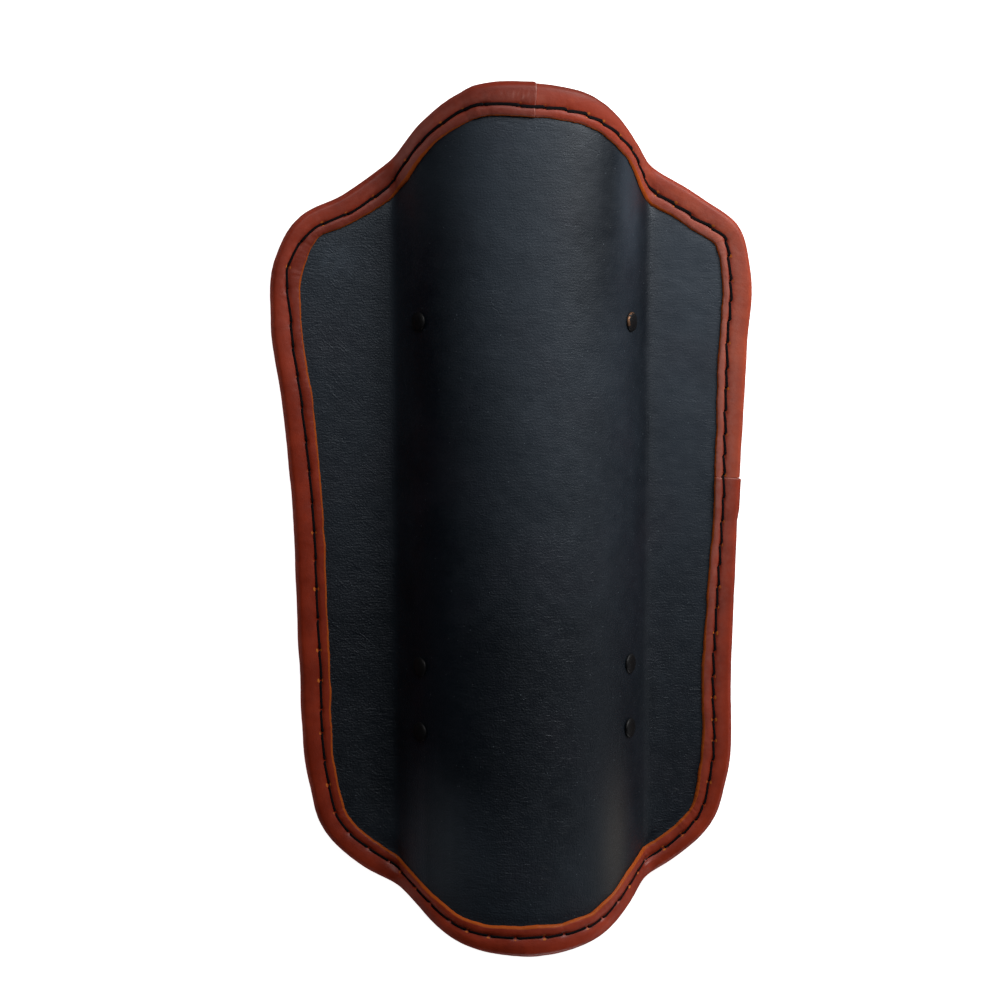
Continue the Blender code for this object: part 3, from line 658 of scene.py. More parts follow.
def lip_line(thickness, welt, roll):
    """Skin from the foot of the cut edge to the top of the roll, as (offset, height over the board)."""
    rise = roll - thickness
    return [
        (-BINDING_WIDTH, 0.0), (-BINDING_WIDTH + 0.4 * CUT_SLOPE, 0.6 * thickness),
        (-BINDING_WIDTH + CUT_SLOPE, 0.97 * thickness),
        (-BINDING_WIDTH + 2 * CUT_SLOPE, thickness + 0.6 * welt),
        (-SEAM_INSET - 3.2 * MM, thickness + welt), (-SEAM_INSET - 1.5 * MM, thickness + 0.4 * welt),
        (-SEAM_INSET, 0.9 * thickness), (-SEAM_INSET + 1.5 * MM, thickness + 0.28 * rise),
        (-SEAM_INSET + 3.4 * MM, thickness + 0.6 * rise), (-SEAM_INSET + 6.4 * MM, thickness + 0.92 * rise),
    ]


def strip_section(lift, thickness, welt, front_roll, back_roll, edge_roll):
    """Front lip, squarish half ellipse round the rim, back lip, and the underside along the board."""
    front, back = CANVAS_TOP + GAP + lift, -(BOARD_THICKNESS + GAP + lift)
    edge = EDGE_GAP + lift
    top, low = front + front_roll, back - back_roll
    middle, half, reach = (top + low) / 2, (top - low) / 2, ROLL_INSET + edge + edge_roll
    angles = np.radians(np.linspace(80, -80, 11))
    lip = [(offset, front + height) for offset, height in lip_line(thickness, welt, front_roll)]
    bulge = np.abs(np.cos(angles)) ** NOSE_POWER
    rise = np.abs(np.sin(angles)) ** NOSE_POWER * np.sign(angles)
    nose = list(zip(-ROLL_INSET + reach * bulge, middle + half * rise))
    tail = [(offset, back - height) for offset, height in reversed(lip_line(thickness, welt, back_roll))]
    under = [(UNDERSIDE[0], back), (UNDERSIDE[1], back), (edge, back)]
    under += [(edge, front), (UNDERSIDE[1], front), (UNDERSIDE[0], front)]
    return np.array(lip + nose + tail + under)


def smoothing(controls, straight):
    """Weights that turn control points into a curve with one more point in each gap: the halfway point
    of a cubic through four neighbours is 9/16 of the near two less 1/16 of the far two. The last
    straight points are kept as they are."""
    curved = controls - straight
    weights = np.zeros((2 * curved - 1 + straight, controls))
    weights[np.arange(curved) * 2, np.arange(curved)] = 1
    for step, share in ((-1, -1), (0, 9), (1, 9), (2, -1)):
        partner = np.clip(np.arange(curved - 1) + step, 0, curved - 1)
        np.add.at(weights, (np.arange(curved - 1) * 2 + 1, partner), share / 16)
    weights[2 * curved - 1 + np.arange(straight), curved + np.arange(straight)] = 1
    return weights


PLAIN = strip_section(0.0, LEATHER_THICKNESS, WELT_HEIGHT, FRONT_ROLL, BACK_ROLL, EDGE_ROLL)
LAPPING = strip_section(LAP_LIFT, LEATHER_THICKNESS, WELT_HEIGHT, FRONT_ROLL, BACK_ROLL - LAP_LIFT, EDGE_ROLL)
TONGUE = strip_section(0.0, TONGUE_THICKNESS, 0.0, TONGUE_THICKNESS, TONGUE_THICKNESS, TONGUE_THICKNESS)
UNDERSIDE_POINTS = 6
to_skin = smoothing(len(PLAIN), straight=UNDERSIDE_POINTS)
on_skin = (np.arange(len(to_skin)) < len(to_skin) - UNDERSIDE_POINTS)[None]
print("section of", len(PLAIN), "control points gives", len(to_skin), "points round the strip")

# %% [markdown]
# ## Where the stitches fall, and how the seam strays
#
# The seam is saddle stitched by hand: long stitches down the left side, shorter ones up the right, and
# closer still round tight corners. Neither the seam nor the cut edge runs quite parallel to the rim. The
# holes come before the leather, because the leather is drawn in at each of them.

# %% Stitch holes along the rim, and the stray of seam, cut edge and roll
STITCH_LENGTHS = [18 * MM, 17 * MM, 19 * MM, 23.5 * MM, 22 * MM]
STITCH_JITTER = 0.13
RIM_STEPS = 4000
BEND_REACH = 40
TIGHT_RADIUS = 45 * MM
SEAM_STRAY = [
    -3.5, -2, 1.5, -1, -2.8, -0.4, -2.5, -1.7, 1.2, -0.2, 0.4, 1.8, 3.2, 0.5, 1.5, 0, 1.6, 1.3, 0.6, 0.8, 0.6,
    -1.4, -0.6, -0.4, -0.8, 3.6, -0.5, -0.8, -0.2, -0.4, -0.2,
]
EDGE_STRAY = [
    -2.6, -0.8, 2.6, -1.8, -2.8, -0.7, 0, 0.5, 2.7, -0.3, -0.6, 2, 2.1, -0.3, 1, -0.3, 2.5, 2.8, 1.8, 1.4,
    1.7, -0.3, 0.2, -0.7, -0.1, 0, 0.6, 0.4, -2.2, 0.1, -0.7,
]
ROLL_STRAY = [
    -0.7, -0.7, -2.6, -0.8, -1, -1, 0, 0, -1, 0, -0.2, -0.4, 0.6, -0.2, -0.6, 0.8, -0.8, -1.4, 0.4, 0, 0.2,
    -0.5, -0.4, -0.7, -0.6, -0.6, -1.8, -1.2, -0.4, -1.8, -1.2,
]

lengths = np.linspace(0, RIM_LENGTH, RIM_STEPS + 1)
heading = np.unwrap(np.arctan2(rim_outward[:, 1], rim_outward[:, 0]))
bend = np.gradient(np.interp(lengths, rim_lengths, heading), lengths)
even = np.ones(2 * BEND_REACH + 1) / (2 * BEND_REACH + 1)
bend = np.convolve(np.pad(bend, BEND_REACH, mode="wrap"), even, mode="valid")
tightness = np.clip(np.abs(bend) * TIGHT_RADIUS, 0, 1)


def stray(length, millimetres):
    """How far outwards a line strays at a length along the rim: given at each point of the outline."""
    knots = rim_lengths[::STEPS_PER_SPAN]
    return MM * np.interp(np.mod(length, RIM_LENGTH), knots, millimetres + millimetres[:1])


seam_u, seam_v = rim_point(lengths, stray(lengths, SEAM_STRAY) - SEAM_INSET)
seam_steps = np.hypot(np.diff(seam_u), np.diff(seam_v))
pitch = np.interp(lengths[1:], np.linspace(0, RIM_LENGTH, 5), STITCH_LENGTHS)
pitch *= 1 - 0.2 * tightness[1:]
stitch_count = np.concatenate([[0], np.cumsum(seam_steps / pitch)])
STITCHES = round(stitch_count[-1])
draw = np.random.default_rng(21)
places = np.arange(STITCHES) + 0.5 + draw.uniform(-STITCH_JITTER, STITCH_JITTER, STITCHES)
holes = np.interp(places * stitch_count[-1] / STITCHES, stitch_count, lengths)
hole_open = draw.uniform(0.2, 1.15, STITCHES)


def nearest_hole(length):
    """Distance along the rim to the nearest stitch hole, and how far that hole has torn open."""
    around = np.abs(np.mod(length, RIM_LENGTH)[:, None] - holes[None])
    around = np.minimum(around, RIM_LENGTH - around)
    return around.min(axis=1), hole_open[around.argmin(axis=1)]


print(STITCHES, "stitches a side")

# %% [markdown]
# ## Leather binding: material
#
# Veg-tanned cowhide, dyed red-brown and rubbed with wax. It is smooth and half glossy, with fine pores and
# cloudy dye. Shade is painted into the dye: darker in the seam, partly a wax stain as well, and on the roll
# where it turns from the light. Beside the seam lies a pale veil, most of it towards the top, partly wax
# bloom and partly a painted sheen, with a painted sheen on the crinkled end of the lap. Where it was cut, and
# where the awl tore it, the undyed orange-brown inside shows. Values kept on the mesh say where each of these
# lies.

# %% Material: waxed cowhide
TORN_LEATHER = "#BC6420"


def cowhide(name, dye, deep, raw, wax, dullest):
    """Cloudy dye from deep to dye, darkened by the mesh's painted shade, a pale veil of wax bloom and painted
    sheen, pores in the bump, raw colour by the mesh's cut values, and paler torn leather by its fleck values."""
    material, add, shader = new_material(name, 0.4)
    shader.inputs["Specular IOR Level"].default_value = 0.25
    shader.inputs["Coat Weight"].default_value = wax
    shader.inputs["Coat Roughness"].default_value = 0.25
    strip = add("UVMap", uv_map="flat")
    cloud = add("TexNoise", {"Vector": strip, "Scale": per_metre(26 * MM), "Detail": 5.0, "Roughness": 0.6})
    pores = add("TexVoronoi", {"Vector": strip, "Scale": per_metre(1.1 * MM), "Randomness": 1.0})
    scuff = add("TexNoise", {"Vector": strip, "Scale": per_metre(5 * MM), "Detail": 6.0, "Roughness": 0.7})
    groove = add("Attribute", out="Fac", attribute_name="groove")
    clouded = add("MapRange", {"Value": cloud, "From Min": 0.3, "From Max": 0.7})
    # Painted shade from the mesh: darker dye in the seam, partly a wax stain, and on skin that turns from the
    # light.
    shade = add("Math", {0: groove, 1: 0.8}, operation="MULTIPLY")
    depth = add("Math", {0: clouded, 1: shade}, operation="SUBTRACT", use_clamp=True)
    # Painted shade, deeper still, where the roll turns from the light at the top.
    deepest_painted_shade = add("Math", {0: groove, 1: 1.0}, operation="SUBTRACT", use_clamp=True)
    bloom_and_painted_sheen = add("Attribute", out="Fac", attribute_name="bloom_and_painted_sheen")
    # A pale veil beside the seam, partly wax bloom and partly a painted sheen.
    bloom_and_sheen_veil = add("Math", {0: scuff, 1: bloom_and_painted_sheen}, operation="MULTIPLY")
    bloom_and_sheen_veil = add("Math", {0: bloom_and_sheen_veil, 1: 0.5}, operation="MULTIPLY")
    layers = [(depth, dye), (deepest_painted_shade, "#6C2312"), (bloom_and_sheen_veil, "#A8766C")]
    ragged = add("Math", {0: scuff, 1: 0.5}, operation="SUBTRACT")
    bare = 0.0
    for label, hue in (("cut", raw), ("fleck", TORN_LEATHER)):
        value = add("Attribute", out="Fac", attribute_name=label)
        edge = add("Math", {0: ragged, 1: 0.8, 2: value}, operation="MULTIPLY_ADD")
        shown = add("MapRange", {"Value": edge, "From Min": 0.4, "From Max": 0.6})
        layers.append((shown, hue))
        bare = add("Math", {0: shown, 1: bare}, operation="MAXIMUM")
    tone = deep
    for share, hue in layers:
        tone = add("Mix", {0: share, 6: tone, 7: hue}, data_type="RGBA", out=2)
    gloss = add("MapRange", {
        "Value": scuff, "From Min": 0.3, "From Max": 0.7,
        "To Min": dullest - 0.16, "To Max": dullest})
    dull = add("Math", {0: bare, 1: 0.5, 2: gloss}, operation="MULTIPLY_ADD")
    across = add("Mapping", {"Vector": strip, "Scale": (1.0, 0.3, 1.0)})
    creases = add("TexNoise", {
        "Vector": across, "Scale": per_metre(4.5 * MM), "Detail": 2.0, "Distortion": 0.8},
        noise_type="RIDGED_MULTIFRACTAL")
    creases = add("Math", {0: creases, 1: bloom_and_painted_sheen}, operation="MULTIPLY")
    height = add("Math", {0: pores, 1: 0.35, 2: scuff}, operation="MULTIPLY_ADD")
    height = add("Math", {0: creases, 1: 0.5, 2: height}, operation="MULTIPLY_ADD")
    relief = add("Bump", {"Height": height, "Strength": 0.4, "Distance": 0.5 * MM})
    connect(shader, {"Base Color": tone, "Roughness": dull, "Normal": relief})
    return material


red_cowhide = cowhide("red_brown_cowhide", "#9B341B", "#79220D", "#A2470A", wax=0.1, dullest=0.52)
pale_cowhide = cowhide("orange_brown_cowhide", "#AA4526", "#8C301A", "#A84806", wax=0.04, dullest=0.62)
print("two dyes of cowhide")

# %% [markdown]
# ## Leather binding: the strips
#
# The skin is an array with one row for each station along the rim and one column for each point round
# the section. Hand work is added to the whole array at once: a wavy cut edge, leather drawn into the
# holes and plump between them, creases across the lip where the rim turns, and a roll that isn't even.

# %% Strip along the rim
STATION_STEP = 1.2 * MM
END_ROUNDING = np.array([0.0, 0.25, 0.9]) * MM
END_SINK = np.array([0.35, 0.08]) * MM
BRIDGE_REACH = 22


def stations(keys):
    """Even steps along the rim, every key section, and a few close steps at each end to round the cut."""
    marks = np.array([mark for mark, _ in keys])
    steps = np.linspace(marks[0] + 2 * MM, marks[-1] - 2 * MM, round((marks[-1] - marks[0]) / STATION_STEP))
    steps = steps[np.abs(steps[:, None] - marks[None]).min(axis=1) > 0.25 * STATION_STEP]
    steps = np.sort(np.concatenate([steps, marks[1:-1]]))
    return np.concatenate([marks[0] + END_ROUNDING, steps, marks[-1] - END_ROUNDING[::-1]])


def skin_rows(keys, where):
    """Sections at the stations: control points blended between the key sections, then smoothed."""
    marks = np.array([mark for mark, _ in keys])
    shapes = np.stack([shape for _, shape in keys])
    slot = np.clip(np.searchsorted(marks, where) - 1, 0, len(keys) - 2)
    share = ((where - marks[slot]) / (marks[slot + 1] - marks[slot]))[:, None, None]
    return np.einsum("mk,skd->smd", to_skin, shapes[slot] * (1 - share) + shapes[slot + 1] * share)


def normals(offset, height):
    """Unit normals of the skin in the plane of its section, and the size of the steps round it."""
    out, rise = np.gradient(offset, axis=1), np.gradient(height, axis=1)
    size = np.hypot(out, rise) + 1e-9
    return -rise / size, out / size, size


def relief_of(s, around, from_seam, lip, at_seam, gap, beside_hole, aloft, on_right, seed):
    """How far hand work lifts the skin: sunk at each hole and plump between two, wrinkles beside the
    seam, creases across and along the lip, and long and short swell of the roll."""
    roll = on_skin * ramp(from_seam, 0, 5)
    crooked = np.interp(np.mod(s, RIM_LENGTH), lengths, tightness)
    push = -0.55 * bell(gap, 0, 3) * at_seam + 0.35 * beside_hole
    push += 0.22 * (1 - bell(gap, 0, 6)) * (lip + at_seam)
    push += 0.09 * on_skin * bell(from_seam, 4, 3) * (0.3 + 0.9 * aloft) * swell(
        s, around * 0.4, 4.5 * MM, seed + 9)
    push += 0.16 * lip * swell(s, around * 0.3, 5.5 * MM, seed) * (0.35 + crooked)
    push += 0.10 * lip * swell(s * 0.2, around, 3.6 * MM, seed + 6) * (0.3 + 0.7 * on_right)
    push += 0.20 * roll * swell(s, around, 40 * MM, seed + 1)
    push += 0.05 * roll * swell(s, around * 0.5, 9 * MM, seed + 2)
    return push * MM


def shades_of(offset, v, lip, at_seam, gap, aloft, on_right):
    """Painted shade: the dye is darker in the seam, where it is partly a wax stain, on the outer roll at the
    top that faces away from the light, at the top right where the roll is most lit, on the lower left and
    under the left lip. Pale veil: paler from the roll inwards, most of it high up on the right, partly wax
    bloom and partly a painted sheen."""
    # Painted shade at the top right, where the roll is most lit.
    sunlit = on_right * bell(v - 0.94 * HALF_LENGTH, 0, 60)
    # Painted shade on the outer roll at the top, which faces away from the light.
    turned_away = ramp(offset, -8, 1) * ramp(offset, -8, -4) * bell(v - HALF_LENGTH, 0, 80)
    groove = np.maximum(at_seam * (0.4 + 0.6 * bell(gap, 0, 4)), 0.7 * sunlit)
    groove = np.maximum(groove, turned_away * (1 + on_right))
    left_shade = 0.3 * ramp(v, 60, -40) + lip * (0.2 + 0.9 * aloft)
    groove = np.maximum(groove, left_shade * (1 - on_right)) * on_skin
    # Pale veil, partly wax bloom and partly a painted sheen.
    left_bloom_and_sheen = (0.1 + 0.34 * aloft + 0.5 * ramp(v, 230, 290)) * (1 - 0.2 * lip)
    right_bloom_and_sheen = (0.15 + ramp(v, -240, 40) - 1.1 * sunlit) * (1 + 0.5 * lip)
    bloom_and_painted_sheen = left_bloom_and_sheen * (1 - on_right) + right_bloom_and_sheen * on_right
    return groove, bloom_and_painted_sheen * on_skin * ramp(offset, 2, -7) * (1 - at_seam)


def hand_work(where, rows, seed):
    """Move the skin along its own normal, in the plane of the section; returns it with its marks."""
    offset, height = rows[..., 0].copy(), rows[..., 1].copy()
    normal_out, normal_up, size = normals(offset, height)
    s, around = where[:, None], np.cumsum(size, axis=1)
    gap, torn = (column[:, None] for column in nearest_hole(where))
    u, v = (part[:, None] for part in rim_point(where, 0.0))
    on_right, aloft, from_seam = ramp(u, -20, 20), ramp(v, 60, 180), offset + SEAM_INSET
    lip, at_seam = on_skin * ramp(from_seam, -1, -4), on_skin * bell(from_seam, 0, 2.2)
    beside_hole = bell(from_seam, 1.6, 0.9) + 0.7 * bell(from_seam, -1.4, 0.8)
    beside_hole = on_skin * torn * bell(gap, 0, 1.7) * beside_hole
    push = relief_of(s, around, from_seam, lip, at_seam, gap, beside_hole, aloft, on_right, seed)
    wave = 0.45 * MM * swell(s, 0 * s, 38 * MM, seed + 3) + 0.15 * MM * swell(s, 0 * s, 9 * MM, seed + 4)
    at_neck = bell(np.abs(u) - FOOT_U, 0, 32) * (v > 0)
    shown = (1.2 - 0.6 * v / HALF_LENGTH + 1.1 * at_neck + 0.3 * swell(s, 0 * s, 50 * MM, seed + 5)) * MM
    cut = on_skin * ramp(offset + BINDING_WIDTH - shown, 0.35, -0.35)
    to_seam = on_skin * np.clip((-ROLL_INSET - offset) / (SEAM_INSET - ROLL_INSET), 0, 1)
    to_edge = on_skin * np.clip((-SEAM_INSET - offset) / (BINDING_WIDTH - SEAM_INSET), 0, 1)
    offset += push * normal_out + wave * on_skin * ramp(from_seam, -2, -7)
    offset += to_seam * (1 - to_edge) * stray(s, SEAM_STRAY) + to_edge * stray(s, EDGE_STRAY)
    offset += on_skin * (1 - to_seam) * stray(s, ROLL_STRAY)
    groove, bloom_and_painted_sheen = shades_of(offset, v, lip, at_seam, gap, aloft, on_right)
    marks = {"cut": cut, "fleck": 1.1 * beside_hole, "groove": groove, "bloom_and_painted_sheen": bloom_and_painted_sheen}
    return offset, height + push * normal_up, marks, around


def bridge_foot(points, where, offset, height):
    """The rolled leather is too stiff for the sharp hollow at the ridge's foot and bridges it: near the
    foot, the front of the roll is a running mean of its neighbours along the rim."""
    near = bell(np.abs(rim_point(where, 0.0)[0]) - FOOT_U, 0, 26)[:, None]
    front = ramp(offset + SEAM_INSET, 1, 5) * ramp(height, -8, -4)
    weights = np.exp(-(np.arange(-BRIDGE_REACH, BRIDGE_REACH + 1) / (BRIDGE_REACH / 2)) ** 2)
    padded = np.concatenate([points[:1]] * BRIDGE_REACH + [points] + [points[-1:]] * BRIDGE_REACH)
    mean = sum(weight * padded[k:k + len(points)] for k, weight in enumerate(weights / weights.sum()))
    return points + (near * front)[..., None] * (mean - points)


def make_strip(name, keys, material, node, seed, lapping):
    """Loft the strip and close its ends; the last rows are drawn in to round the cut. A lapping strip
    was wetted and pulled tight at its ends, which left them darker and a little scratched."""
    where = stations(keys)
    offset, height, marks, around = hand_work(where, skin_rows(keys, where), seed)
    s, from_first, from_last = where[:, None], (where - where[0])[:, None], (where[-1] - where)[:, None]
    ends = np.zeros(len(where))
    ends[:2], ends[-2:] = END_SINK, END_SINK[::-1]
    crinkled = lapping * bell(from_last, 0, 28) * bell(offset, -6.5, 3) * on_skin
    scratched = crinkled * np.clip(swell(s, around * 0.2, 2.4 * MM, seed + 10), 0, 1)
    push = 0.22 * MM * crinkled * swell(s, around * 0.25, 4.5 * MM, seed + 8) - ends[:, None] * on_skin
    normal_out, normal_up, _ = normals(offset, height)
    offset += push * normal_out
    height += push * normal_up
    end_rows = ramp(ends, 0, 0.1)[:, None] * on_skin
    corner = on_skin * 2.4 * MM * ramp(offset, 1, 6) ** 2
    corner = corner + on_skin * 0.3 * MM * swell(around, 0 * around, 7 * MM, seed + 7)
    place = s + corner * (bell(from_first, 0, 3) - bell(from_last, 0, 3)) * lapping
    if lapping:
        near_end = 0.35 * bell(from_first, 0, 30) + bell(from_last, 0, 45)
        marks["groove"] = np.maximum(marks["groove"], 0.7 * near_end * on_skin)
        # Painted sheen on the crinkled end of the lap, with its scratches, and a painted highlight on its cut
        # end.
        marks["bloom_and_painted_sheen"] = np.maximum(marks["bloom_and_painted_sheen"], 0.8 * crinkled + 2.4 * scratched)
        marks["bloom_and_painted_sheen"] = np.maximum(marks["bloom_and_painted_sheen"], 2.2 * end_rows)
    marks["cut"] = np.maximum(marks["cut"], (0.4 if lapping else 1.0) * end_rows)
    u, v = rim_point(place, offset)
    points = bridge_foot(fold(u, v, height), where, offset, height)
    faces = tube_faces(*points.shape[:2])
    flat = np.stack([np.broadcast_to(s, around.shape), around], axis=-1)
    return add_piece(name, points, faces, material, [node], marks=marks, flat=flat, sharp=60)


TOP_JOIN = 3 * MM
SIDE_JOIN_HEIGHT = 28 * MM
TOP_LAP = 46.5 * MM
SIDE_LAP = 23.5 * MM
LAP_FALL = 10 * MM
TONGUE_STOP = 1.5 * MM
right_side = lengths[(lengths > corner_lengths["top_right"]) & (lengths < corner_lengths["bottom_right"])]
SIDE_JOIN = np.interp(-SIDE_JOIN_HEIGHT, -rim_point(right_side, 0.0)[1], right_side)
short_keys = [
    (TOP_JOIN - TOP_LAP + TONGUE_STOP, TONGUE), (TOP_JOIN + 0.05 * MM, TONGUE), (TOP_JOIN + 0.3 * MM, PLAIN),
    (SIDE_JOIN - 0.3 * MM, PLAIN), (SIDE_JOIN - 0.05 * MM, TONGUE),
    (SIDE_JOIN + SIDE_LAP - TONGUE_STOP, TONGUE),
]
main_keys = [
    (SIDE_JOIN, LAPPING), (SIDE_JOIN + SIDE_LAP, LAPPING), (SIDE_JOIN + SIDE_LAP + LAP_FALL, PLAIN),
    (RIM_LENGTH + TOP_JOIN - TOP_LAP - LAP_FALL, PLAIN), (RIM_LENGTH + TOP_JOIN - TOP_LAP, LAPPING),
    (RIM_LENGTH + TOP_JOIN, LAPPING),
]
make_strip("binding_short_strip", short_keys, pale_cowhide, "edge_binding_short",
           seed=40, lapping=False)
make_strip("binding_main_strip", main_keys, red_cowhide, "edge_binding_main",
           seed=50, lapping=True)
print("side join", round(SIDE_JOIN / MM), "mm along the rim")

# %% [markdown]
# ## Stitches
#
# The thread is thick black waxed linen. Each stitch leaves one hole, drifts outwards as it lies in the
# groove, and kinks back into the next hole, as saddle stitches do. All stitches of a side are one array:
# stitch, ring along it, point round it.

# %% Material and stitches
THREAD_WIDTH = 1.0 * MM
THREAD_HEIGHT = 0.7 * MM
THREAD_RISE = 0.35 * MM
THREAD_SINK = 1.3 * MM
TWIST_LENGTH = 1.4 * MM
RING_PLACES = np.array([-0.03, 0.0, 0.04, 0.1, 0.25, 0.45, 0.65, 0.8, 0.88, 0.92, 0.96, 1.0, 1.03])
RING_POINTS = 8


def waxed_thread():
    """Black waxed linen: dull shine, and a fine twist across the thread."""
    material, add, shader = new_material("black_waxed_linen_thread", 0.8)
    shader.inputs["Base Color"].default_value = light_of("#0A0609")
    shader.inputs["Specular IOR Level"].default_value = 0.12
    strand = add("UVMap", uv_map="flat")
    twist = add("TexWave", {
        "Vector": strand, "Scale": math.tau / (20 * TWIST_LENGTH), "Distortion": 0.6},
        out="Fac", bands_direction="DIAGONAL")
    relief = add("Bump", {"Height": twist, "Strength": 0.3, "Distance": 0.2 * MM})
    connect(shader, {"Normal": relief})
    return material


def lap_lift(length):
    """How far the seam is lifted by a lap: up to the lap's own lift, with a short ramp off its end."""
    marks = [SIDE_JOIN - 4 * MM, SIDE_JOIN, main_keys[1][0], main_keys[2][0]]
    marks += [main_keys[3][0], main_keys[4][0], main_keys[5][0], main_keys[5][0] + 4 * MM]
    lifts = np.array([0, 1, 1, 0, 0, 1, 1, 0]) * LAP_LIFT
    return np.maximum(np.interp(length, marks, lifts), np.interp(length + RIM_LENGTH, marks, lifts))


def stitches(name, seat, side, node, seed):
    """Ring centres along each stitch, sunk at both ends, and an oval of points round every centre."""
    draw = np.random.default_rng(seed)
    start, end = holes[:, None], np.append(holes[1:], holes[0] + RIM_LENGTH)[:, None]
    t = RING_PLACES[None]
    u_start, v_start = rim_point(start, 0.0)
    at_bottom = bell(v_start + HALF_LENGTH, 0, 110)
    short = 0.01 + 0.06 * ramp(v_start, 60, -100) + 0.04 * at_bottom
    thick = 0.9 + 0.3 * bell(v_start - HALF_LENGTH, 0, 90) + 0.12 * np.sin(math.pi * t)
    thick = thick + 0.14 * ramp(u_start, 0, 80) * ramp(v_start, 0, 80)
    where = start + (end - start) * (0.5 + (t - 0.5) * (1 - short))
    calm = 1 - 0.5 * at_bottom
    slant = draw.uniform(0.5, 1.0, (STITCHES, 1)) * MM * np.clip(u_start / (80 * MM) + 0.7, 0.4, 1) * calm
    sway = draw.uniform(-0.2, 0.2, (STITCHES, 1)) * MM
    drift = slant * np.interp(t, [-0.03, 0.05, 0.88, 1.03], [-0.8, -0.9, 1.0, -0.5])
    offset = stray(where, SEAM_STRAY) - SEAM_INSET + drift + sway * np.sin(math.pi * t)
    ends = np.exp(-((t + 0.03) / 0.04) ** 2) + np.exp(-((1.03 - t) / 0.04) ** 2)
    slim = (thick * (1 - 0.4 * ends))[..., None]
    height = seat + side * (lap_lift(where) + THREAD_RISE - THREAD_SINK * ends)
    angle = np.arange(RING_POINTS) * math.tau / RING_POINTS
    u, v = rim_point(where[..., None], offset[..., None] + THREAD_WIDTH * slim * np.cos(angle))
    points = fold(u, v, height[..., None] + side * THREAD_HEIGHT * slim * np.sin(angle))
    rings = len(RING_PLACES)
    one = grid_faces(rings, RING_POINTS, around=True)
    first = (np.arange(STITCHES) * rings * RING_POINTS)[:, None]
    faces = (one[None] + first[..., None]).reshape(-1, 4)[:, ::-side].tolist()
    faces += (np.arange(RING_POINTS)[::side][None] + first).tolist()
    faces += (np.arange(RING_POINTS)[::-side][None] + first + (rings - 1) * RING_POINTS).tolist()
    flat = np.stack(np.broadcast_arrays(where[..., None], angle * THREAD_WIDTH), axis=-1)
    return add_piece(name, points, faces, thread, [node], flat=flat)


thread = waxed_thread()
front_seat = CANVAS_TOP + GAP + 0.9 * LEATHER_THICKNESS
back_seat = -(BOARD_THICKNESS + GAP + 0.9 * LEATHER_THICKNESS)
stitches("stitches_front", front_seat, 1, "seam_thread_front", seed=61)
stitches("stitches_back", back_seat, -1, "seam_thread_back", seed=62)

# %% [markdown]
# ## Rivets and washers
#
# Six iron rivets go through canvas, board and strap. Each is one turned shape: a profile of radius and
# height, carried round its axis. A loop places them where their solids are, square to the ridge's flank.

# %% Turned pieces
TURN_POINTS = 48
TURN_ANGLES = np.arange(TURN_POINTS) * math.tau / TURN_POINTS
WEAR_SIDE = math.radians(145)
WORN_RINGS = slice(8, 15)
HEAD_RADIUS = 7.5 * MM
HEAD_HEIGHT = 2.8 * MM
SHANK_RADIUS = 2.0 * MM
STRAP_THICKNESS = 4 * MM
STRAP_TOP = -(BOARD_THICKNESS + GAP)
STRAP_BOTTOM = STRAP_TOP - STRAP_THICKNESS
WASHER_THICKNESS = 1.0 * MM


def turned(profile, side, v):
    """Turn (radius, height) pairs about the flank's normal at the rivet's place."""
    profile = np.array(profile)
    foot = fold(side * RIVET_U, v, 0.0)
    slope = RIVET_U / CREST_RADIUS
    out = np.array([side * math.sin(slope), 0.0, math.cos(slope)])
    down = np.array([math.cos(slope), 0.0, -side * math.sin(slope)])
    spokes = np.cos(TURN_ANGLES)[:, None] * down + np.sin(TURN_ANGLES)[:, None] * np.array([0.0, 1.0, 0.0])
    return foot + profile[:, 0, None, None] * spokes[None] + profile[:, 1, None, None] * out


def painted_iron(name, bare_share):
    """Black paint on iron, rubbed to coppery metal where the mesh says so."""
    material, add, shader = new_material(name, 0.52)
    shader.inputs["Specular IOR Level"].default_value = 0.3
    wear = add("Attribute", out="Fac", attribute_name="wear")
    place = add("TexCoord", out="Object")
    scratch = add("TexNoise", {
        "Vector": place, "Scale": per_metre(2.5 * MM), "Detail": 5.0, "Roughness": 0.7})
    rubbed = add("Math", {0: scratch, 1: wear}, operation="MULTIPLY")
    bare = add("MapRange", {"Value": rubbed, "From Min": 0.5 - bare_share, "From Max": 0.6 - bare_share})
    tone = add("Mix", {0: bare, 6: "#09090B", 7: "#7E5E48"}, data_type="RGBA", out=2)
    relief = add("Bump", {"Height": scratch, "Strength": 0.3, "Distance": 0.2 * MM})
    connect(shader, {"Base Color": tone, "Metallic": bare, "Normal": relief})
    return material


def rivet_profile():
    """Low dome with a rolled edge, shank, and a tail hammered over the washer."""
    seat = CANVAS_TOP + GAP
    angles = np.linspace(0.02, math.pi / 2, 14)
    dome = [(HEAD_RADIUS * math.sin(a), seat + HEAD_HEIGHT * (0.2 + 0.8 * math.cos(a))) for a in angles]
    tail = STRAP_BOTTOM - WASHER_THICKNESS - 2 * GAP
    return dome + [
        (HEAD_RADIUS * 0.99, seat + 0.1 * MM), (HEAD_RADIUS * 0.95, seat), (SHANK_RADIUS, seat),
        (SHANK_RADIUS, tail), (3.1 * MM, tail), (3.4 * MM, tail - 0.5 * MM), (2.9 * MM, tail - 1.1 * MM),
        (1.6 * MM, tail - 1.5 * MM), (0.1 * MM, tail - 1.6 * MM),
    ]


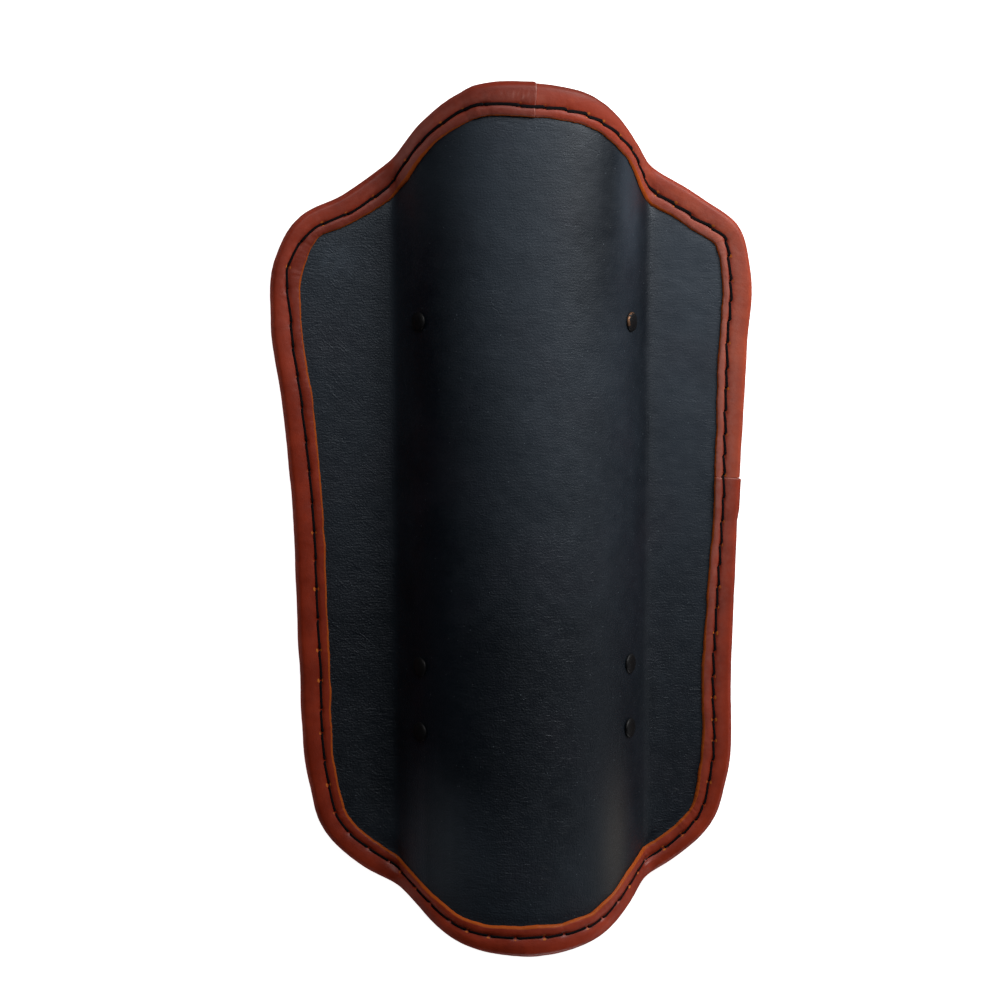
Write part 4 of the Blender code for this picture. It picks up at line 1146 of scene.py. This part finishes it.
def washer_profile():
    """Flat ring with softened edges, as a closed loop."""
    top, hole, rim = STRAP_BOTTOM - GAP, SHANK_RADIUS + GAP, 6 * MM
    low, soft = top - WASHER_THICKNESS, 0.25 * MM
    return [
        (hole, top), (rim - soft, top), (rim, top - soft), (rim, low + soft), (rim - soft, low),
        (hole + soft, low), (hole, low + soft),
    ]


def washer_steel():
    """Zinc-dulled steel with a turned, slightly stained face."""
    material, add, shader = new_material("dull_washer_steel", 0.42, metallic=1.0)
    place = add("TexCoord", out="Object")
    stain = add("TexNoise", {"Vector": place, "Scale": per_metre(6 * MM), "Detail": 5.0})
    tone = add("Mix", {0: stain, 6: "#7C7872", 7: "#B4B0A8"}, data_type="RGBA", out=2)
    connect(shader, {"Base Color": tone})
    return material


dark_iron, worn_iron = painted_iron("black_painted_iron", -0.3), painted_iron("worn_painted_iron", 0.1)
steel = washer_steel()
for row, label, side in RIVETS:
    v = row_height(row)
    shape = turned(rivet_profile(), side, v)
    faces = [face[::-1] for face in tube_faces(len(shape), TURN_POINTS)]
    rubbed = np.zeros(shape.shape[:2])
    rubbed[WORN_RINGS] = np.clip(np.cos(TURN_ANGLES - WEAR_SIDE) * 2, 0, 1)
    iron = worn_iron if (row, label) == ("upper", "right") else dark_iron
    add_piece(f"rivet_{row}_{label}_iron", shape, faces, iron, [f"rivet_{row}_{label}"],
              marks={"wear": rubbed})
    ring = turned(washer_profile(), side, v)
    faces = grid_faces(len(ring) + 1, TURN_POINTS, around=True)[:, ::-1] % (len(ring) * TURN_POINTS)
    add_piece(f"washer_{row}_{label}_steel", ring, faces.tolist(), steel,
              [f"washer_{row}_{label}"])

# %% [markdown]
# ## Straps
#
# A narrow strap takes the hand and a wide one the forearm. They are thick belt leather, riveted to the
# inside of the flanks and drawn straight across the hollow. The path is the one of the solids: down the
# flank, round a bend and level. A rounded section is carried along it.

# %% Material and straps
STRAP_EDGE = 1.3 * MM
STRAP_CLEARANCE = 1.5 * MM
STRAP_END = 15 * MM
BEND_START = 14 * MM


def belt_leather():
    """Dark brown belt leather: cloudy dye, pores, and darker burnished edges."""
    material, add, shader = new_material("dark_brown_belt_leather", 0.45)
    strip = add("UVMap", uv_map="flat")
    cloud = add("TexNoise", {
        "Vector": strip, "Scale": per_metre(22 * MM), "Detail": 6.0, "Roughness": 0.65})
    pores = add("TexVoronoi", {"Vector": strip, "Scale": per_metre(1.3 * MM)})
    burnt = add("Attribute", out="Fac", attribute_name="edge")
    clouded = add("MapRange", {"Value": cloud, "From Min": 0.3, "From Max": 0.7})
    depth = add("Math", {0: clouded, 1: burnt}, operation="SUBTRACT", use_clamp=True)
    tone = add("Mix", {0: depth, 6: "#24140D", 7: "#573320"}, data_type="RGBA", out=2)
    height = add("Math", {0: pores, 1: cloud}, operation="ADD")
    relief = add("Bump", {"Height": height, "Strength": 0.4, "Distance": 0.5 * MM})
    connect(shader, {"Base Color": tone, "Normal": relief})
    return material


def strap_path():
    """Middle line of a strap seen end on, right half: points on the flank, then an arc, then level."""
    middle = (STRAP_TOP + STRAP_BOTTOM) / 2
    on_flank = fold(np.linspace(RIVET_U - STRAP_END, RIVET_U + BEND_START, 12), 0.0, middle)[:, [0, 2]]
    on_flank[:, 0] -= AXIS_X
    level = STRAP_CLEARANCE + STRAP_THICKNESS / 2
    end = on_flank[-1]
    radius = (end[1] - level) / (1 + math.cos(RIDGE_ANGLE))
    centre = end - radius * np.array([math.sin(RIDGE_ANGLE), math.cos(RIDGE_ANGLE)])
    angles = math.pi / 2 - RIDGE_ANGLE - (math.pi - RIDGE_ANGLE) * np.linspace(0, 1, 21)[1:]
    arc = centre + radius * np.stack([np.cos(angles), np.sin(angles)], axis=-1)
    across = np.stack([np.linspace(arc[-1, 0], 0, 14)[1:], np.full(13, level)], axis=-1)
    return np.vstack([on_flank, arc, across])


def strap_section(width):
    """Rounded flat bar: points (along the shield, out of the strap), denser at its rounded edges."""
    half, thick = width / 2, STRAP_THICKNESS / 2
    turn = np.radians([90, 60, 30, 0, -30, -60, -90])
    edge = np.stack([half - STRAP_EDGE + STRAP_EDGE * np.cos(turn), thick * np.sin(turn)], axis=-1)
    flat = np.linspace(-1, 1, 9)[1:-1] * (half - STRAP_EDGE)
    under = np.stack([flat[::-1], np.full(7, -thick)], axis=-1)
    return np.vstack([edge, under, -edge, -under])


def make_strap(name, node, v, width, seed):
    """Carry the section along the path, with soft creases, and its ends drawn in a little."""
    half = strap_path()
    path = np.vstack([half, (half[:-1] * (-1, 1))[::-1]])
    course = unit(np.gradient(path, axis=0))
    out = np.stack([-course[:, 1], course[:, 0]], axis=-1)
    run = lengths_along(path)
    section = strap_section(width)
    squeeze = 1 - 0.06 * (bell(run, 0, 1) + bell(run[-1] - run, 0, 1))
    y = section[None, :, 0] * squeeze[:, None]
    lift = section[None, :, 1] * squeeze[:, None]
    crease = 0.12 * MM * swell(run[:, None], y * 0.6, 16 * MM, seed)
    lift = lift + crease * np.sign(section[None, :, 1])
    x = AXIS_X + path[:, 0, None] + lift * out[:, 0, None]
    z = path[:, 1, None] + lift * out[:, 1, None]
    points = np.stack([x, MID_Y + v + y, z], axis=-1)
    rows, ring = points.shape[:2]
    burnt = np.broadcast_to(np.abs(section[:, 0]) > width / 2 - STRAP_EDGE, (rows, ring))
    flat = np.stack([np.broadcast_to(run[:, None], (rows, ring)), y + lift], axis=-1)
    return add_piece(name, points, tube_faces(rows, ring), belting, [node],
                     marks={"edge": burnt}, flat=flat)


belting = belt_leather()
make_strap("hand_strap_leather", "hand_strap", ROW_UPPER, strap_high.y - strap_low.y, seed=71)
arm_low, arm_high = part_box("forearm_strap")
make_strap("forearm_strap_leather", "forearm_strap", (arm_low.y + arm_high.y) / 2 - MID_Y,
           arm_high.y - arm_low.y, seed=72)

# %% [markdown]
# ## Floor and light
#
# The floor is plain and pale, and lit on its own so that it stays nearly white. A window low on the
# upper right rakes over the shield and leaves the ridge's left flank nearly black. A paler sky panel
# stands above the shield's top, a weak board at the lower right keeps the right side of the ridge from
# fading, and another one at the lower end does the same for the roll there. Each lamp is placed by its
# compass direction, its height angle and its distance.

# %% Floor, lamps and surroundings
def floor_paper():
    """Matt white background paper, a little brightened by its own light."""
    material, _, shader = new_material("matt_white_paper", 0.9)
    shader.inputs["Base Color"].default_value = light_of("#F4F4F2")
    shader.inputs["Emission Color"].default_value = light_of("#FFFFFF")
    shader.inputs["Emission Strength"].default_value = 0.95
    return material


FLOOR_SIZE = 12.0
corners = np.array([(-1, -1, 0), (1, -1, 0), (1, 1, 0), (-1, 1, 0)]) * FLOOR_SIZE / 2
floor_mesh = bpy.data.meshes.new("floor")
floor_mesh.from_pydata(corners.tolist(), [], [(0, 1, 2, 3)])
floor_mesh.materials.append(floor_paper())
floor = put_in_scene("floor", floor_mesh)
floor.visible_glossy = False


def add_lamp(name, compass, height_angle, distance, width, depth, watts):
    """A soft rectangular lamp facing the shield: compass degrees run from +X towards +Y."""
    lamp = bpy.data.lights.new(name, "AREA")
    lamp.shape, lamp.size, lamp.size_y, lamp.energy = "RECTANGLE", width, depth, watts
    around, rise = math.radians(compass), math.radians(height_angle)
    back = np.array([math.cos(rise) * math.cos(around), math.cos(rise) * math.sin(around), math.sin(rise)])
    side = np.array([-math.sin(around), math.cos(around), 0.0])
    return put_in_scene(name, lamp, (side, np.cross(back, side), back),
                        distance * back + (0.0, 0.0, AIM_HEIGHT))


add_lamp("window", 45, 28, 1.25, 0.6, 0.6, 11.8)
add_lamp("sky_panel", 85, 50, 1.6, 1.7, 0.75, 10.8)
add_lamp("low_board", 335, 12, 1.6, 0.7, 0.4, 1.2)
add_lamp("hem_board", 285, 5, 1.4, 0.9, 0.2, 4.4)
world = bpy.data.worlds.new("studio")
world.use_nodes = True
world.node_tree.nodes["Background"].inputs["Color"].default_value = light_of("#FFFFFF")
world.node_tree.nodes["Background"].inputs["Strength"].default_value = 0.006
bpy.context.scene.world = world
bpy.context.scene.view_settings.view_transform = "Standard"
